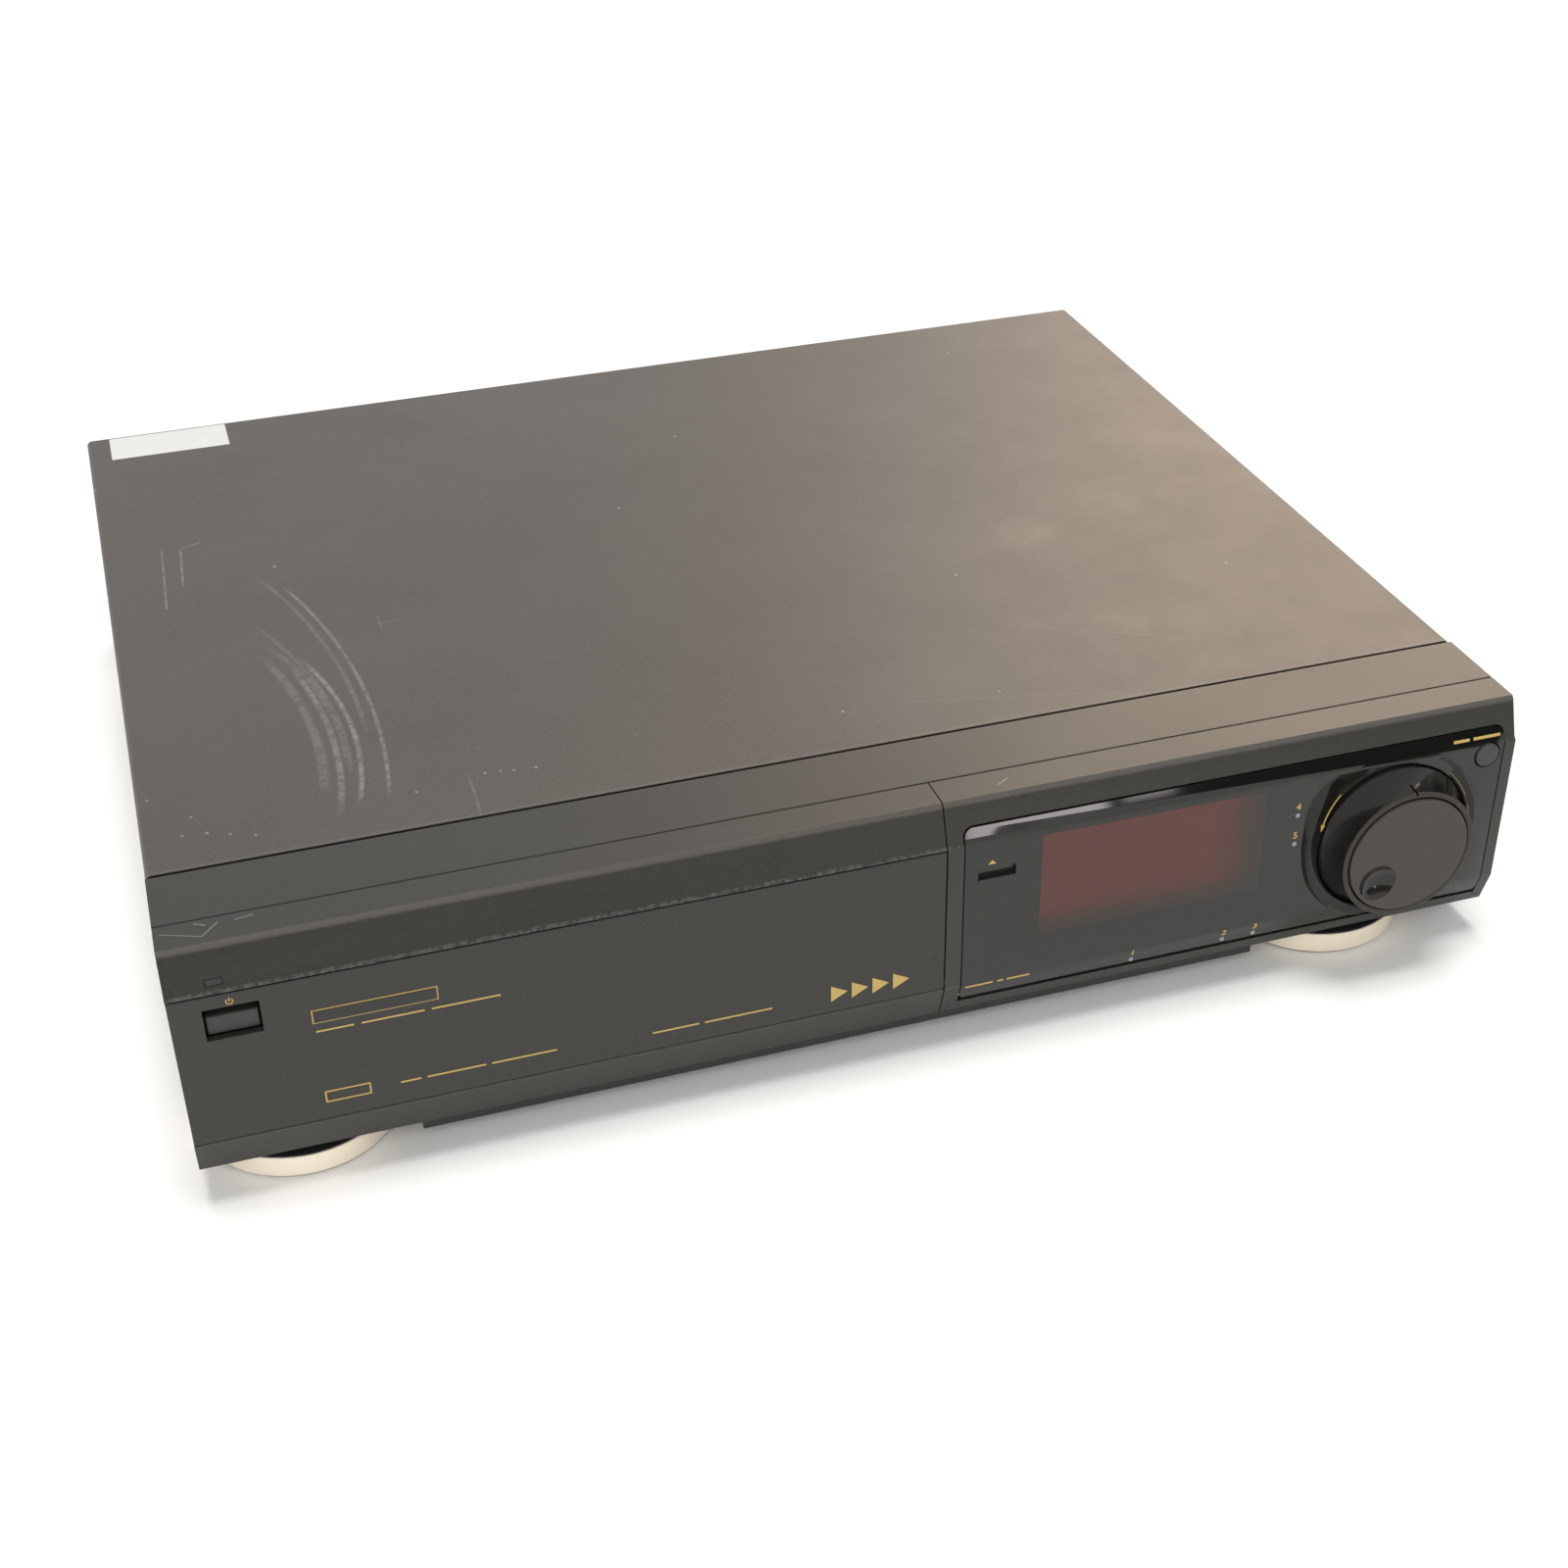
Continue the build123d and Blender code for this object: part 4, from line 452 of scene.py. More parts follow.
def cover_paint(paint):
    """Fine-grained grey paint with long curved rub marks, hair scratches, specks, a bare paper label and painted shade
    in the seam along its front edge.
    """
    look = settings().cover
    clouds = paint.noise(0.011, 4, 0.55)
    patches = paint.noise(0.05, 3, 0.6)
    speckle = paint.noise(0.8, 3, 0.7)
    grain = paint.noise(2.2, 2, 0.6)
    broken = paint.noise(0.16, 3, 0.75).rise(0.38, 0.6)
    fibres = paint.noise(0.9, 2, 0.7).rise(0.3, 0.62)
    marks = []
    worn = (broken * 0.65 + 0.35) * (fibres * 0.6 + 0.4)
    for centre, radius, span, width, strength in (
        ((-459, 104), 322.0, (62, 204), 1.0, 0.62), ((-459, 104), 318.0, (104, 214), 1.2, 0.3),
        ((-310, 96), 165.0, (62, 150), 1.2, 0.75), ((-310, 96), 161.0, (84, 160), 1.6, 0.32),
        ((-364, 94), 212.0, (58, 144), 1.5, 0.6), ((-364, 94), 207.0, (70, 156), 2.2, 0.34),
        ((-364, 94), 215.5, (80, 176), 1.2, 0.32), ((-420, 60), 305.0, (41, 60), 0.7, 0.5),
    ):
        marks.append(paint.arc(centre, radius, span, width) * (worn * strength))
    for start, end, width, strength in (
        ((-126, 176), (-125.6, 164), 0.3, 0.3), ((-127, 170), (-118, 171), 0.3, 0.35),
        ((-193.7, 251.3), (-195.5, 205.5), 0.6, 0.5), ((-187, 250.6), (-188.5, 220.5), 0.6, 0.55),
        ((-187, 251.5), (-179.1, 254.6), 0.6, 0.4), ((30, 60), (96, 44), 0.22, 0.3),
        ((90, 92), (150, 60), 0.2, 0.3),
    ):
        marks.append(paint.streak(start, end, width) * (strength * (broken * 0.6 + 0.4)))
    for across, depth, size in (
        (-211.2, 80.8, 0.5), (-199.2, 66.9, 0.6), (-202.6, 57.5, 0.5), (-195.4, 56.7, 0.7),
        (-188.8, 53.9, 0.5), (-181.6, 50.9, 0.5), (-109.9, 62.5, 0.7), (-105.1, 62.0, 0.4),
        (-101.0, 61.5, 0.6), (-94.1, 60.7, 0.8), (-155.5, 225.5, 1.1), (-131.9, 58.8, 0.6),
    ):
        marks.append(paint.near(across, depth, size * 0.4, 0.45) * 0.8)
    marked = marks[0]
    for each in marks[1:]:
        marked = marked.most(each)
    specks = paint.cells(0.055).rise(0.045, 0.02) * (paint.noise(0.02, 1) > 0.5)
    greasy = paint.near(-62, 146, 5, 9) * 0.7
    greasy = greasy.most(paint.near(111, 160, 4, 13)).most(paint.noise(0.03, 5, 0.7).rise(0.6, 0.75) * 0.5)
    edge = paint.drop.rise(1.2, 0.5) * paint.depth.rise(41, 39.8)
    # painted shade: near black where the cover's front edge drops into the gap to the rail
    seam = paint.depth.rise(39.7, 39.3)
    label = paint.band(paint.across, -206, -160, 0.2) * paint.band(paint.depth, 340.5, 361.2, 0.2)
    label = label * paint.drop.rise(0.2, 0.1)
    tone = paint.coats(
        paint.vary(clouds.rise(0.3, 0.7), look.paint, 0.88, 1.1),
        (speckle.rise(0.36, 0.64) * 0.5, shade(look.paint, 1.45)),
        (grain.rise(0.5, 0.75) * 0.4, shade(look.paint, 0.62)),
        (greasy * 0.35, shade(look.paint, 0.72)),
        (specks * 0.6, (0.34, 0.32, 0.29)),
        ((marked * look.wear * 0.75).least(0.7), (0.34, 0.32, 0.3)),
        (edge * 0.2, (0.2, 0.19, 0.18)),
        (seam * 0.9, (0.006, 0.006, 0.006)),
        (label, paint.mix(paint.noise(0.3, 4, 0.7), (0.63, 0.63, 0.61), (0.73, 0.73, 0.715))))
    rough = patches * 0.1 + 0.36 - greasy * 0.06 + marked * 0.08 + label * 0.2 + speckle * 0.06
    return paint.surface(
        Base_Color=tone, Roughness=rough, Specular_IOR_Level=0.43,
        Normal=paint.bump(speckle * 0.6 + grain * 0.4, look.grain / MM, 0.9))


def front_plastic(paint):
    """Satin moulded plastic with a rubbed rim, scattered dust and nicks, a painted highlight along the lower edge of
    the sloped band, a lighter line along the step at the foot of the flap, and painted shade in its seams, its crease
    and round the power lens.
    """
    look = settings().front
    clouds = paint.noise(0.02, 3)
    speckle = paint.noise(0.85, 3, 0.7)
    grain = paint.noise(2.4, 2, 0.6)
    ragged = (paint.noise(0.7, 3, 0.7) - 0.5) * 0.9
    dust = paint.cells(0.09).rise(0.03, 0.012) * 0.4
    # the lip is a painted highlight: a lighter, broken line along the lower edge of the sloped band
    lip = paint.band(paint.drop + ragged * 0.4, 13.0, 13.7, 0.25) * paint.noise(0.5, 3, 0.8).rise(0.4, 0.6)
    # painted shade: a near-black line in the crease between the band and the flap, and a near-black frame round the
    # power lens
    crease = paint.band(paint.drop, 13.95, 14.5, 0.1) * paint.across.rise(18.5, 18.2)
    lens = paint.band(paint.across, -203.6, -198.3, 0.1) * paint.band(paint.drop, 9.6, 11.9, 0.1)
    rim = (paint.drop + ragged).rise(2.0, 0.9) * (paint.depth + ragged).rise(1.5, 0.5)
    foot = paint.band(paint.drop, 66.9, 67.3, 0.2)
    nick = paint.streak((-213, 8.8), (-201.7, 4.3), 0.3) * 0.7
    for start, end in (((-201.7, 4.3), (-197.0, 9.8)), ((-203.4, 11.2), (-200.4, 9.4)),
                       ((-192, 9.6), (-187, 10.4)), ((38, 5), (42, 7.5))):
        nick = nick.most(paint.streak(start, end, 0.3))
    # painted shade: a near-black line where the gap between the top strip and the band lies
    seam = paint.band(paint.depth, 12.75, 13.25, 0.12)
    tone = paint.coats(
        paint.vary(clouds, look.plastic, 0.92, 1.08),
        (speckle.rise(0.4, 0.66) * 0.45, shade(look.plastic, 1.4)),
        (lip * 0.22, (0.22, 0.21, 0.19)),
        (crease.most(lens) * 0.85, (0.006, 0.006, 0.006)),
        (rim * 0.24, (0.25, 0.23, 0.21)),
        (foot * 0.16, (0.22, 0.21, 0.2)),
        (dust, (0.16, 0.15, 0.14)),
        (nick * paint.drop.rise(1, 0.3) * 0.45, (0.36, 0.34, 0.32)),
        (seam * 0.92, (0.004, 0.004, 0.004)))
    return paint.surface(
        Base_Color=tone, Roughness=clouds * 0.08 + 0.34 + speckle * 0.06, Specular_IOR_Level=0.4,
        Normal=paint.bump(speckle * 0.55 + grain * 0.45, 0.035, 0.9))


def door_gloss(paint):
    """Glossy near-black plastic with a little haze and hair lines; its upper slope is blacker still."""
    look = settings().door
    haze = paint.noise(0.06, 4, 0.6)
    hairs = paint.noise(0.5, 2, 0.5, (1, 1, 9)).rise(0.62, 0.75)
    dust = paint.cells(0.12).rise(0.035, 0.015) * (paint.noise(0.05, 1) > 0.5)
    tone = paint.coats(
        paint.vary(haze, look.gloss, 0.9, 1.1),
        (paint.drop.rise(13.4, 12.8) * 0.75, (0.003, 0.003, 0.003)), (dust * 0.5, (0.16, 0.15, 0.14)))
    return paint.surface(
        Base_Color=tone, Roughness=haze * 0.03 + hairs * 0.03 + 0.03, Specular_IOR_Level=0.45)


def mound_gloss(paint):
    """The polished black round the dial, where the front reflects little."""
    haze = paint.noise(0.06, 4, 0.6)
    return paint.surface(
        Base_Color=paint.mix(haze, (0.008, 0.0078, 0.007), (0.012, 0.0115, 0.01)),
        Roughness=haze * 0.05 + 0.05, Specular_IOR_Level=0.3)


def window_red(paint):
    """The dark red display window, which fades into the door at its right and lower edges."""
    look = settings().door
    fade = paint.across.rise(127, 107) * 0.92 + 0.08
    low = paint.drop.rise(52.5, 41) * 0.88 + 0.12
    haze = paint.noise(0.06, 3)
    deep = paint.vary(haze, look.window, 0.85, 1.1)
    return paint.surface(Base_Color=paint.mix(fade * low, look.gloss, deep), Roughness=haze * 0.03 + 0.03)


def lens_clear(paint):
    """The small milky lenses of the indicators."""
    away = paint.noise(0.4, 2)
    return paint.surface(
        Base_Color=paint.mix(away, (0.2, 0.22, 0.24), (0.3, 0.32, 0.34)), Roughness=away * 0.05 + 0.14)


def ring_gloss(paint):
    """Polished black plastic, handled dull on its front lip."""
    look = settings().dial
    haze = paint.noise(0.08, 4, 0.6)
    lip = paint.depth.rise(-16.6, -17.0)
    tone = paint.coats(paint.vary(haze, look.ring, 0.8, 1.3), (lip * 0.8, look.face))
    return paint.surface(
        Base_Color=tone, Roughness=haze * 0.06 + 0.07 + lip * 0.23, Specular_IOR_Level=0.28,
        Normal=paint.bump(paint.noise(0.25, 2), 0.015, 0.4))


def dial_plastic(paint):
    """Satin plastic of the jog dial; its finger dimple is polished glossier and darkened with painted shade."""
    look = settings().dial
    worn = paint.noise(0.15, 4, 0.6)
    fine = paint.noise(1.0, 3, 0.7)
    # the finger dimple: glossier, and darkened with painted shade in its hollow
    cup = length(paint.across - DIMPLE[0], paint.drop - DIMPLE[1]).rise(6.75, 6.55)
    tone = paint.coats(
        paint.vary(worn, look.face, 0.9, 1.12),
        (fine.rise(0.45, 0.7) * 0.3, shade(look.face, 1.3)), (cup * 0.75, look.ring))
    return paint.surface(
        Base_Color=tone, Roughness=worn * 0.12 + 0.3 - cup * 0.22, Specular_IOR_Level=0.42,
        Normal=paint.bump(fine, 0.02, 0.7))


def plated_steel(paint):
    brushed = paint.noise(0.7, 3, 0.6, (1, 12, 1))
    clouds = paint.noise(0.03, 3)
    return paint.surface(
        Base_Color=paint.mix(clouds, (0.5, 0.5, 0.46), (0.66, 0.64, 0.58)), Metallic=1.0,
        Roughness=brushed * 0.14 + 0.28, Normal=paint.bump(brushed, 0.006, 0.5))


def board_green(paint):
    tracks = paint.add("ShaderNodeTexBrick", {"offset": 0.5}, {
        "Vector": paint.spot, "Scale": 0.4, "Color1": (0.5, 0.5, 0.5), "Color2": (0.1, 0.1, 0.1),
        "Mortar": (1, 1, 1), "Mortar Size": 0.06, "Brick Width": 1.6, "Row Height": 0.5}, "Color")
    tone = paint.mix(tracks * 0.6, (0.02, 0.11, 0.04), (0.05, 0.2, 0.09))
    return paint.surface(Base_Color=tone, Roughness=0.38, Normal=paint.bump(tracks, 0.03, 0.5))


def display_tube(paint):
    mesh = paint.noise(1.2, 2)
    return paint.surface(
        Base_Color=paint.mix(mesh, (0.02, 0.022, 0.024), (0.05, 0.055, 0.06)), Roughness=0.14)


def foot_cream(paint):
    """Cream moulded plastic, yellowed in places and chipped along its edge."""
    look = settings().feet
    stain = paint.noise(0.06, 4, 0.6)
    chips = paint.cells(0.16).rise(0.09, 0.04) * (paint.noise(0.05, 1) > 0.56)
    rubbed = paint.noise(0.4, 4, 0.75).rise(0.6, 0.72) * paint.drop.rise(88.5, 90.2)
    tone = paint.coats(
        paint.mix(stain, look.ring, [c * yellow for c, yellow in zip(look.ring, (0.97, 0.94, 0.88))]),
        (chips * 0.75, (0.12, 0.07, 0.04)), (rubbed * 0.5, (0.3, 0.22, 0.14)))
    return paint.surface(
        Base_Color=tone, Roughness=stain * 0.15 + 0.28, Normal=paint.bump(paint.noise(0.9, 2), 0.02, 0.5))


def transformer_core(paint):
    leaves = paint.noise(1.6, 1, 0.5, (1, 0.05, 0.05))
    return paint.surface(
        Base_Color=paint.mix(leaves, (0.06, 0.05, 0.045), (0.14, 0.12, 0.11)), Metallic=0.5, Roughness=0.45,
        Normal=paint.bump(leaves, 0.08, 0.8))


def print_gold(paint):
    ink = paint.noise(1.1, 3)
    gold = settings().front.print_gold
    return paint.surface(Base_Color=paint.vary(ink, gold, 0.85, 1), Roughness=ink * 0.1 + 0.38)


FINISHES = {}


def finish(name):
    """The material of that name, made when it is first asked for."""
    if name not in FINISHES:
        paint = Paint(name)
        FINISHES[name] = plain(paint, *PLAIN[name]) if name in PLAIN else globals()[name](paint)
    return FINISHES[name]


def show(name, mesh, body, slot, replaced=(), look=None):
    """Shows a mesh as a piece that rides on a body and stands for the CAD nodes named."""
    mesh.materials.clear()
    mesh.materials.append(finish(look or slot))
    piece = linked(name, mesh)
    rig.ride(piece, body)
    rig.slot(piece, slot)
    if replaced:
        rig.replaces(piece, *replaced)


def slope(drop):
    """How far the front stands in front of the top front edge, at a distance below the top."""
    lean = max(drop - CURL[0], 0.0) / (CURL[1] - CURL[0])
    return FACE_REACH * min(drop / SLOPE_END, 1.0) - CURL_BACK * lean


def outward(shape, merge=0.0):
    """Merges the near corners of a bmesh and turns its faces outward."""
    bmesh.ops.remove_doubles(shape, verts=shape.verts, dist=merge)
    bmesh.ops.recalc_face_normals(shape, faces=shape.faces)
    return shape


def wall(shape, near, far):
    """Closes two rings of places into a solid of a bmesh."""
    near, far = [[shape.verts.new(spot) for spot in ring] for ring in (near, far)]
    shape.faces.new(near)
    shape.faces.new(far[::-1])
    for i in range(len(near)):
        j = (i + 1) % len(near)
        shape.faces.new((near[i], near[j], far[j], far[i]))


class Print:
    """Thin raised marks on the front that ride on one body. Places are (across, below the top) in mm."""

    def __init__(self, name, body, reach=slope):
        self.name = name
        self.body = body
        self.reach = reach
        self.shape = bmesh.new()

    def patch(self, outline, proud=INK):
        """A flat mark within an outline."""
        wall(self.shape, *([ahead(a, d, self.reach(d) + lift) for a, d in outline] for lift in (-INK, proud)))

    def rule(self, start, end, width):
        """A straight line."""
        dx, dy = end[0] - start[0], end[1] - start[1]
        scale = width / 2 / math.hypot(dx, dy)
        off = (-dy * scale, dx * scale)
        self.patch([(start[0] + off[0], start[1] + off[1]), (end[0] + off[0], end[1] + off[1]),
                    (end[0] - off[0], end[1] - off[1]), (start[0] - off[0], start[1] - off[1])])

    def frame(self, across, drop, w):
        """Lines of a width round a rectangle between two distances across and two below the top."""
        (a, b), (c, d) = across, drop
        for sides in ((a, b, c, c + w), (a, b, d - w, d), (a, a + w, c + w, d - w), (b - w, b, c + w, d - w)):
            self.patch(corners(*sides))

    def sweep(self, centre, radius, start, end, width=0.45):
        """Part of a ring, between two angles in degrees that are counted from the right and upwards."""
        steps = 24
        turns = [start + (end - start) * k / steps for k in range(steps + 1)]
        self.patch([round_about(centre, radius - width / 2, turn) for turn in turns]
                   + [round_about(centre, radius + width / 2, turn) for turn in turns[::-1]])

    def figure(self, words, centre, height):
        """Plain numbers, by Blender's own font, laid on the face."""
        curve = given(
            bpy.data.curves.new(self.name + "_figure", "FONT"), body=words, size=height * MM,
            align_x="CENTER", align_y="CENTER", extrude=INK * MM, offset=0.06 * MM, resolution_u=3)
        mesh = evaluated(linked("figure", curve), "figure")
        for vertex in mesh.vertices:
            across, drop = centre[0] + vertex.co.x / MM, centre[1] - vertex.co.y / MM
            vertex.co = ahead(across, drop, self.reach(drop) + vertex.co.z / MM)
        self.shape.from_mesh(mesh)

    def finish(self, look="print_gold", slot="bearing_brass"):
        """Shows the marks as one piece."""
        show(self.name, meshed(outward(self.shape, MERGE / 4), self.name), self.body, slot, look=look)


def smooth_by_angle(mesh, angle):
    """Shades a mesh smooth, apart from edges sharper than an angle in degrees."""
    mesh.shade_smooth()
    mesh.set_sharp_from_angle(angle=math.radians(angle))


def merged(mesh, flat=0.4, name=None, shift=None):
    """Merges a mesh's doubles, makes its flat areas whole and shifts its corners; a name makes it a copy."""
    shape = bmesh.new()
    shape.from_mesh(mesh)
    bmesh.ops.remove_doubles(shape, verts=shape.verts, dist=MERGE)
    bmesh.ops.dissolve_limit(
        shape, angle_limit=math.radians(flat), verts=shape.verts, edges=shape.edges, delimit={"NORMAL"})
    for vertex in shape.verts if shift else ():
        vertex.co = shift(vertex.co)
    return meshed(shape, name or mesh)


def prism(name, outline, near, far, spot):
    """A closed mesh between two copies of an outline; spot(a, b, level) gives the place of a corner."""
    shape = bmesh.new()
    wall(shape, *([spot(a, b, level) for a, b in outline] for level in (near, far)))
    return meshed(outward(shape), name)


def joined(name, meshes):
    """One mesh made of several."""
    shape = bmesh.new()
    for mesh in meshes:
        shape.from_mesh(mesh)
    return meshed(shape, name)


def cut(mesh, *tools):
    """A mesh with the shapes of other meshes taken out of it."""
    for tool in tools:
        cutter = linked("cutter", tool)
        mesh = modified(mesh, "BOOLEAN", object=cutter, operation="DIFFERENCE", solver="EXACT")
        bpy.data.objects.remove(cutter)
    return mesh


def refined(node, slot, width, look=None, steps=2, tools=(), shift=None):
    """Replaces a CAD node by a merged copy of it whose edges are rounded by a width in millimetres.

    Tools are meshes that are cut out of it first, and shift moves each of its corners.
    """
    source = NODES[node]
    mesh = merged(source.data, name=node + "_shell", shift=shift)
    if tools:
        mesh = merged(cut(mesh, *tools))
    mesh = modified(mesh, "BEVEL", width=width * MM, segments=steps, limit_method="ANGLE",
                    angle_limit=math.radians(30), use_clamp_overlap=True, harden_normals=False)
    smooth_by_angle(mesh, 38)
    mesh = modified(mesh, "WEIGHTED_NORMAL", keep_sharp=True)
    show(node + "_shell", mesh, source["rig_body"], slot, (node,), look)


def refine(*rows):
    """Refines CAD nodes, from rows of a slot, a width and the nodes that have them."""
    for slot, width, *nodes in rows:
        for node in nodes:
            refined(node, slot, width)


def modified(mesh, kind, **values):
    """The mesh that a modifier makes of a mesh."""
    carrier = linked("carrier", mesh)
    given(carrier.modifiers.new(kind, kind), **values)
    return evaluated(carrier, mesh.name)


class Growth(Tree):
    """A Geometry Nodes tree with named inputs."""

    def __init__(self, name):
        group = bpy.data.node_groups.new(name, "GeometryNodeTree")
        super().__init__(group)
        self.interface = group.interface
        self.interface.new_socket("Geometry", in_out="INPUT", socket_type="NodeSocketGeometry")
        self.interface.new_socket("Geometry", in_out="OUTPUT", socket_type="NodeSocketGeometry")
        self.inside = group.nodes.new("NodeGroupInput")
        self.names = {}

    def ask(self, name, kind, value):
        """Adds a named input with its value and returns its link."""
        socket = self.interface.new_socket(name, in_out="INPUT", socket_type="NodeSocket" + kind)
        socket.default_value = value
        self.names[name] = socket.identifier
        return Link(self, self.inside.outputs[name])

    @property
    def carried(self):
        return Link(self, self.inside.outputs["Geometry"])

    def end(self, geometry, material):
        """Ends the tree in Realize Instances and Set Material."""
        real = self.add("GeometryNodeRealizeInstances", None, (geometry,))
        painted = self.add("GeometryNodeSetMaterial", None, {"Geometry": real, "Material": material})
        self.add("NodeGroupOutput", None, {"Geometry": painted})
        return self

    def grow(self, mesh, **values):
        """The plain mesh that this tree makes of a mesh, with the values of its named inputs."""
        carrier = linked("carrier", mesh)
        modifier = carrier.modifiers.new("Growth", "NODES")
        modifier.node_group = self.graph
        for name, value in values.items():
            modifier[self.names[name]] = value
        return evaluated(carrier, mesh.name)


def outline_mesh(name, points):
    """Edges through points, as the outline that a turned piece is made of: distance from its axis, height."""
    mesh = bpy.data.meshes.new(name)
    links = [(i, i + 1) for i in range(len(points) - 1)]
    mesh.from_pydata([(r * MM, -h * MM, 0) for r, h in points], links, [])
    return mesh


def bow(start, handle, end, steps):
    """Points along a curve that leaves one point and reaches another by way of a handle."""
    points = []
    for k in range(steps + 1):
        t = k / steps
        points.append(tuple(
            (1 - t) ** 2 * a + 2 * t * (1 - t) * b + t * t * c for a, b, c in zip(start, handle, end)))
    return points


def crown(drop):
    """How far the mound round the dial stands out: it leans back towards its top."""
    lean, bend = 0.17, 34.0
    return MOUND_REACH - lean * max(0.0, bend - drop)


def mound_section(angle):
    """One section through the mound round the dial: its foot is round, but squared at the upper left."""
    across, up = math.cos(angle), math.sin(angle)
    foot, low_foot, hole, groove, brow = 31.5, 29.7, 26.78, 28.2, 30.6     # mm from the dial's axis
    far = foot
    if across < 0 < up:
        left, top, bend = 31.8, 28.6, 16.0
        corner = (bend - left, top - bend)
        toward = across * corner[0] + up * corner[1]
        reach = left / -across
        if reach * up > corner[1]:
            reach = toward + math.sqrt(toward ** 2 - corner[0] ** 2 - corner[1] ** 2 + bend ** 2)
            if reach * across > corner[0]:
                reach = top / up
        far = max(far, reach)
    if up < 0:
        far = min(far, low_foot / -up)
    surface = slope(DIAL[1] - far * up)
    crest = min(far - 1.6, brow)

    def face(r):
        return crown(DIAL[1] - r * up) - 0.16 * (crest - r)

    points = [(hole, 3.05), (hole, face(hole) - 0.25), (hole + 0.25, face(hole + 0.25)),
              (groove, face(groove))]
    top = max(face(crest), surface + 0.05)
    rounds = 8
    for k in range(rounds + 1):
        share = k / rounds
        points.append((crest + (far - crest) * share, surface + (top - surface) * (1 - share ** 2.2)))
    points.append((far, surface - 0.45))
    return [place(DIAL[0] + r * across, -reach, DIAL[1] - r * up) for r, reach in points]


def turning(material):
    """Turns an outline round an axis and copies it to places in rows."""
    tree = Growth("turning")
    steps, core, tilt, origin, columns, rows, pitch = (tree.ask(*row) for row in (
        ("Steps", "Int", 96), ("Core", "Float", 0.0001), ("Tilt", "Vector", (0, 0, 0)),
        ("Origin", "Vector", (0, 0, 0)), ("Columns", "Int", 1), ("Rows", "Int", 1),
        ("Pitch", "Vector", (0, 0, 0))))
    circle = tree.add(
        "GeometryNodeCurvePrimitiveCircle", {"mode": "RADIUS"}, {"Resolution": steps, "Radius": core})
    outline = tree.add("GeometryNodeMeshToCurve", None, (tree.carried,))
    turned = tree.add("GeometryNodeCurveToMesh", None, {"Curve": circle, "Profile Curve": outline})
    turned = tree.add("GeometryNodeTransform", None, {"Geometry": turned, "Rotation": tilt})
    split = tree.add("ShaderNodeSeparateXYZ", None, (pitch,))
    first = tree.add("GeometryNodeMeshLine", {"mode": "OFFSET"}, {
        "Count": columns, "Offset": tree.add("ShaderNodeCombineXYZ", None, (split,))})
    step = tree.add("ShaderNodeCombineXYZ", None, {"Y": split["Y"], "Z": split["Z"]})
    second = tree.add("GeometryNodeMeshLine", {"mode": "OFFSET"}, {"Count": rows, "Offset": step})
    grid = tree.add("GeometryNodeInstanceOnPoints", None, {"Points": first, "Instance": second})
    points = tree.add("GeometryNodeRealizeInstances", None, (grid,))
    copies = tree.add("GeometryNodeInstanceOnPoints", None, {"Points": points, "Instance": turned})
    moved = tree.add("GeometryNodeTransform", None, {"Geometry": copies, "Translation": origin})
    return tree.end(moved, material)


def faced_out(mesh, merge=MERGE):
    """A mesh with its near corners merged and its faces turned outward."""
    shape = bmesh.new()
    shape.from_mesh(mesh)
    return meshed(outward(shape, merge), mesh)


def turned(name, points, look, origin, tilt=(0, 0, 0), steps=96, columns=1, rows=1, pitch=(0, 0, 0)):
    """The mesh of one outline turned round an axis through each of its places."""
    core = 0.1
    outline = outline_mesh(name, [(r - core, h) for r, h in points])
    mesh = faced_out(turning(finish(look)).grow(
        outline, Steps=steps, Core=core * MM, Tilt=tilt, Origin=origin, Columns=columns, Rows=rows,
        Pitch=pitch))
    smooth_by_angle(mesh, 30)
    return mesh


def sheet(name, places, **values):
    """A flat sheet of the stage in one even finish."""
    mesh = bpy.data.meshes.new(name)
    mesh.from_pydata(places, [], [(0, 1, 2, 3)])
    mesh.materials.append(Paint(name).surface(**values))
    return linked(name, mesh)


def lamp(name, kind, toward, **values):
    """A lamp of the stage that shines along a direction."""
    holder = linked(name, given(bpy.data.lights.new(name, kind), **values))
    holder.rotation_euler = Vector(toward).to_track_quat("-Z", "Y").to_euler()
    return holder


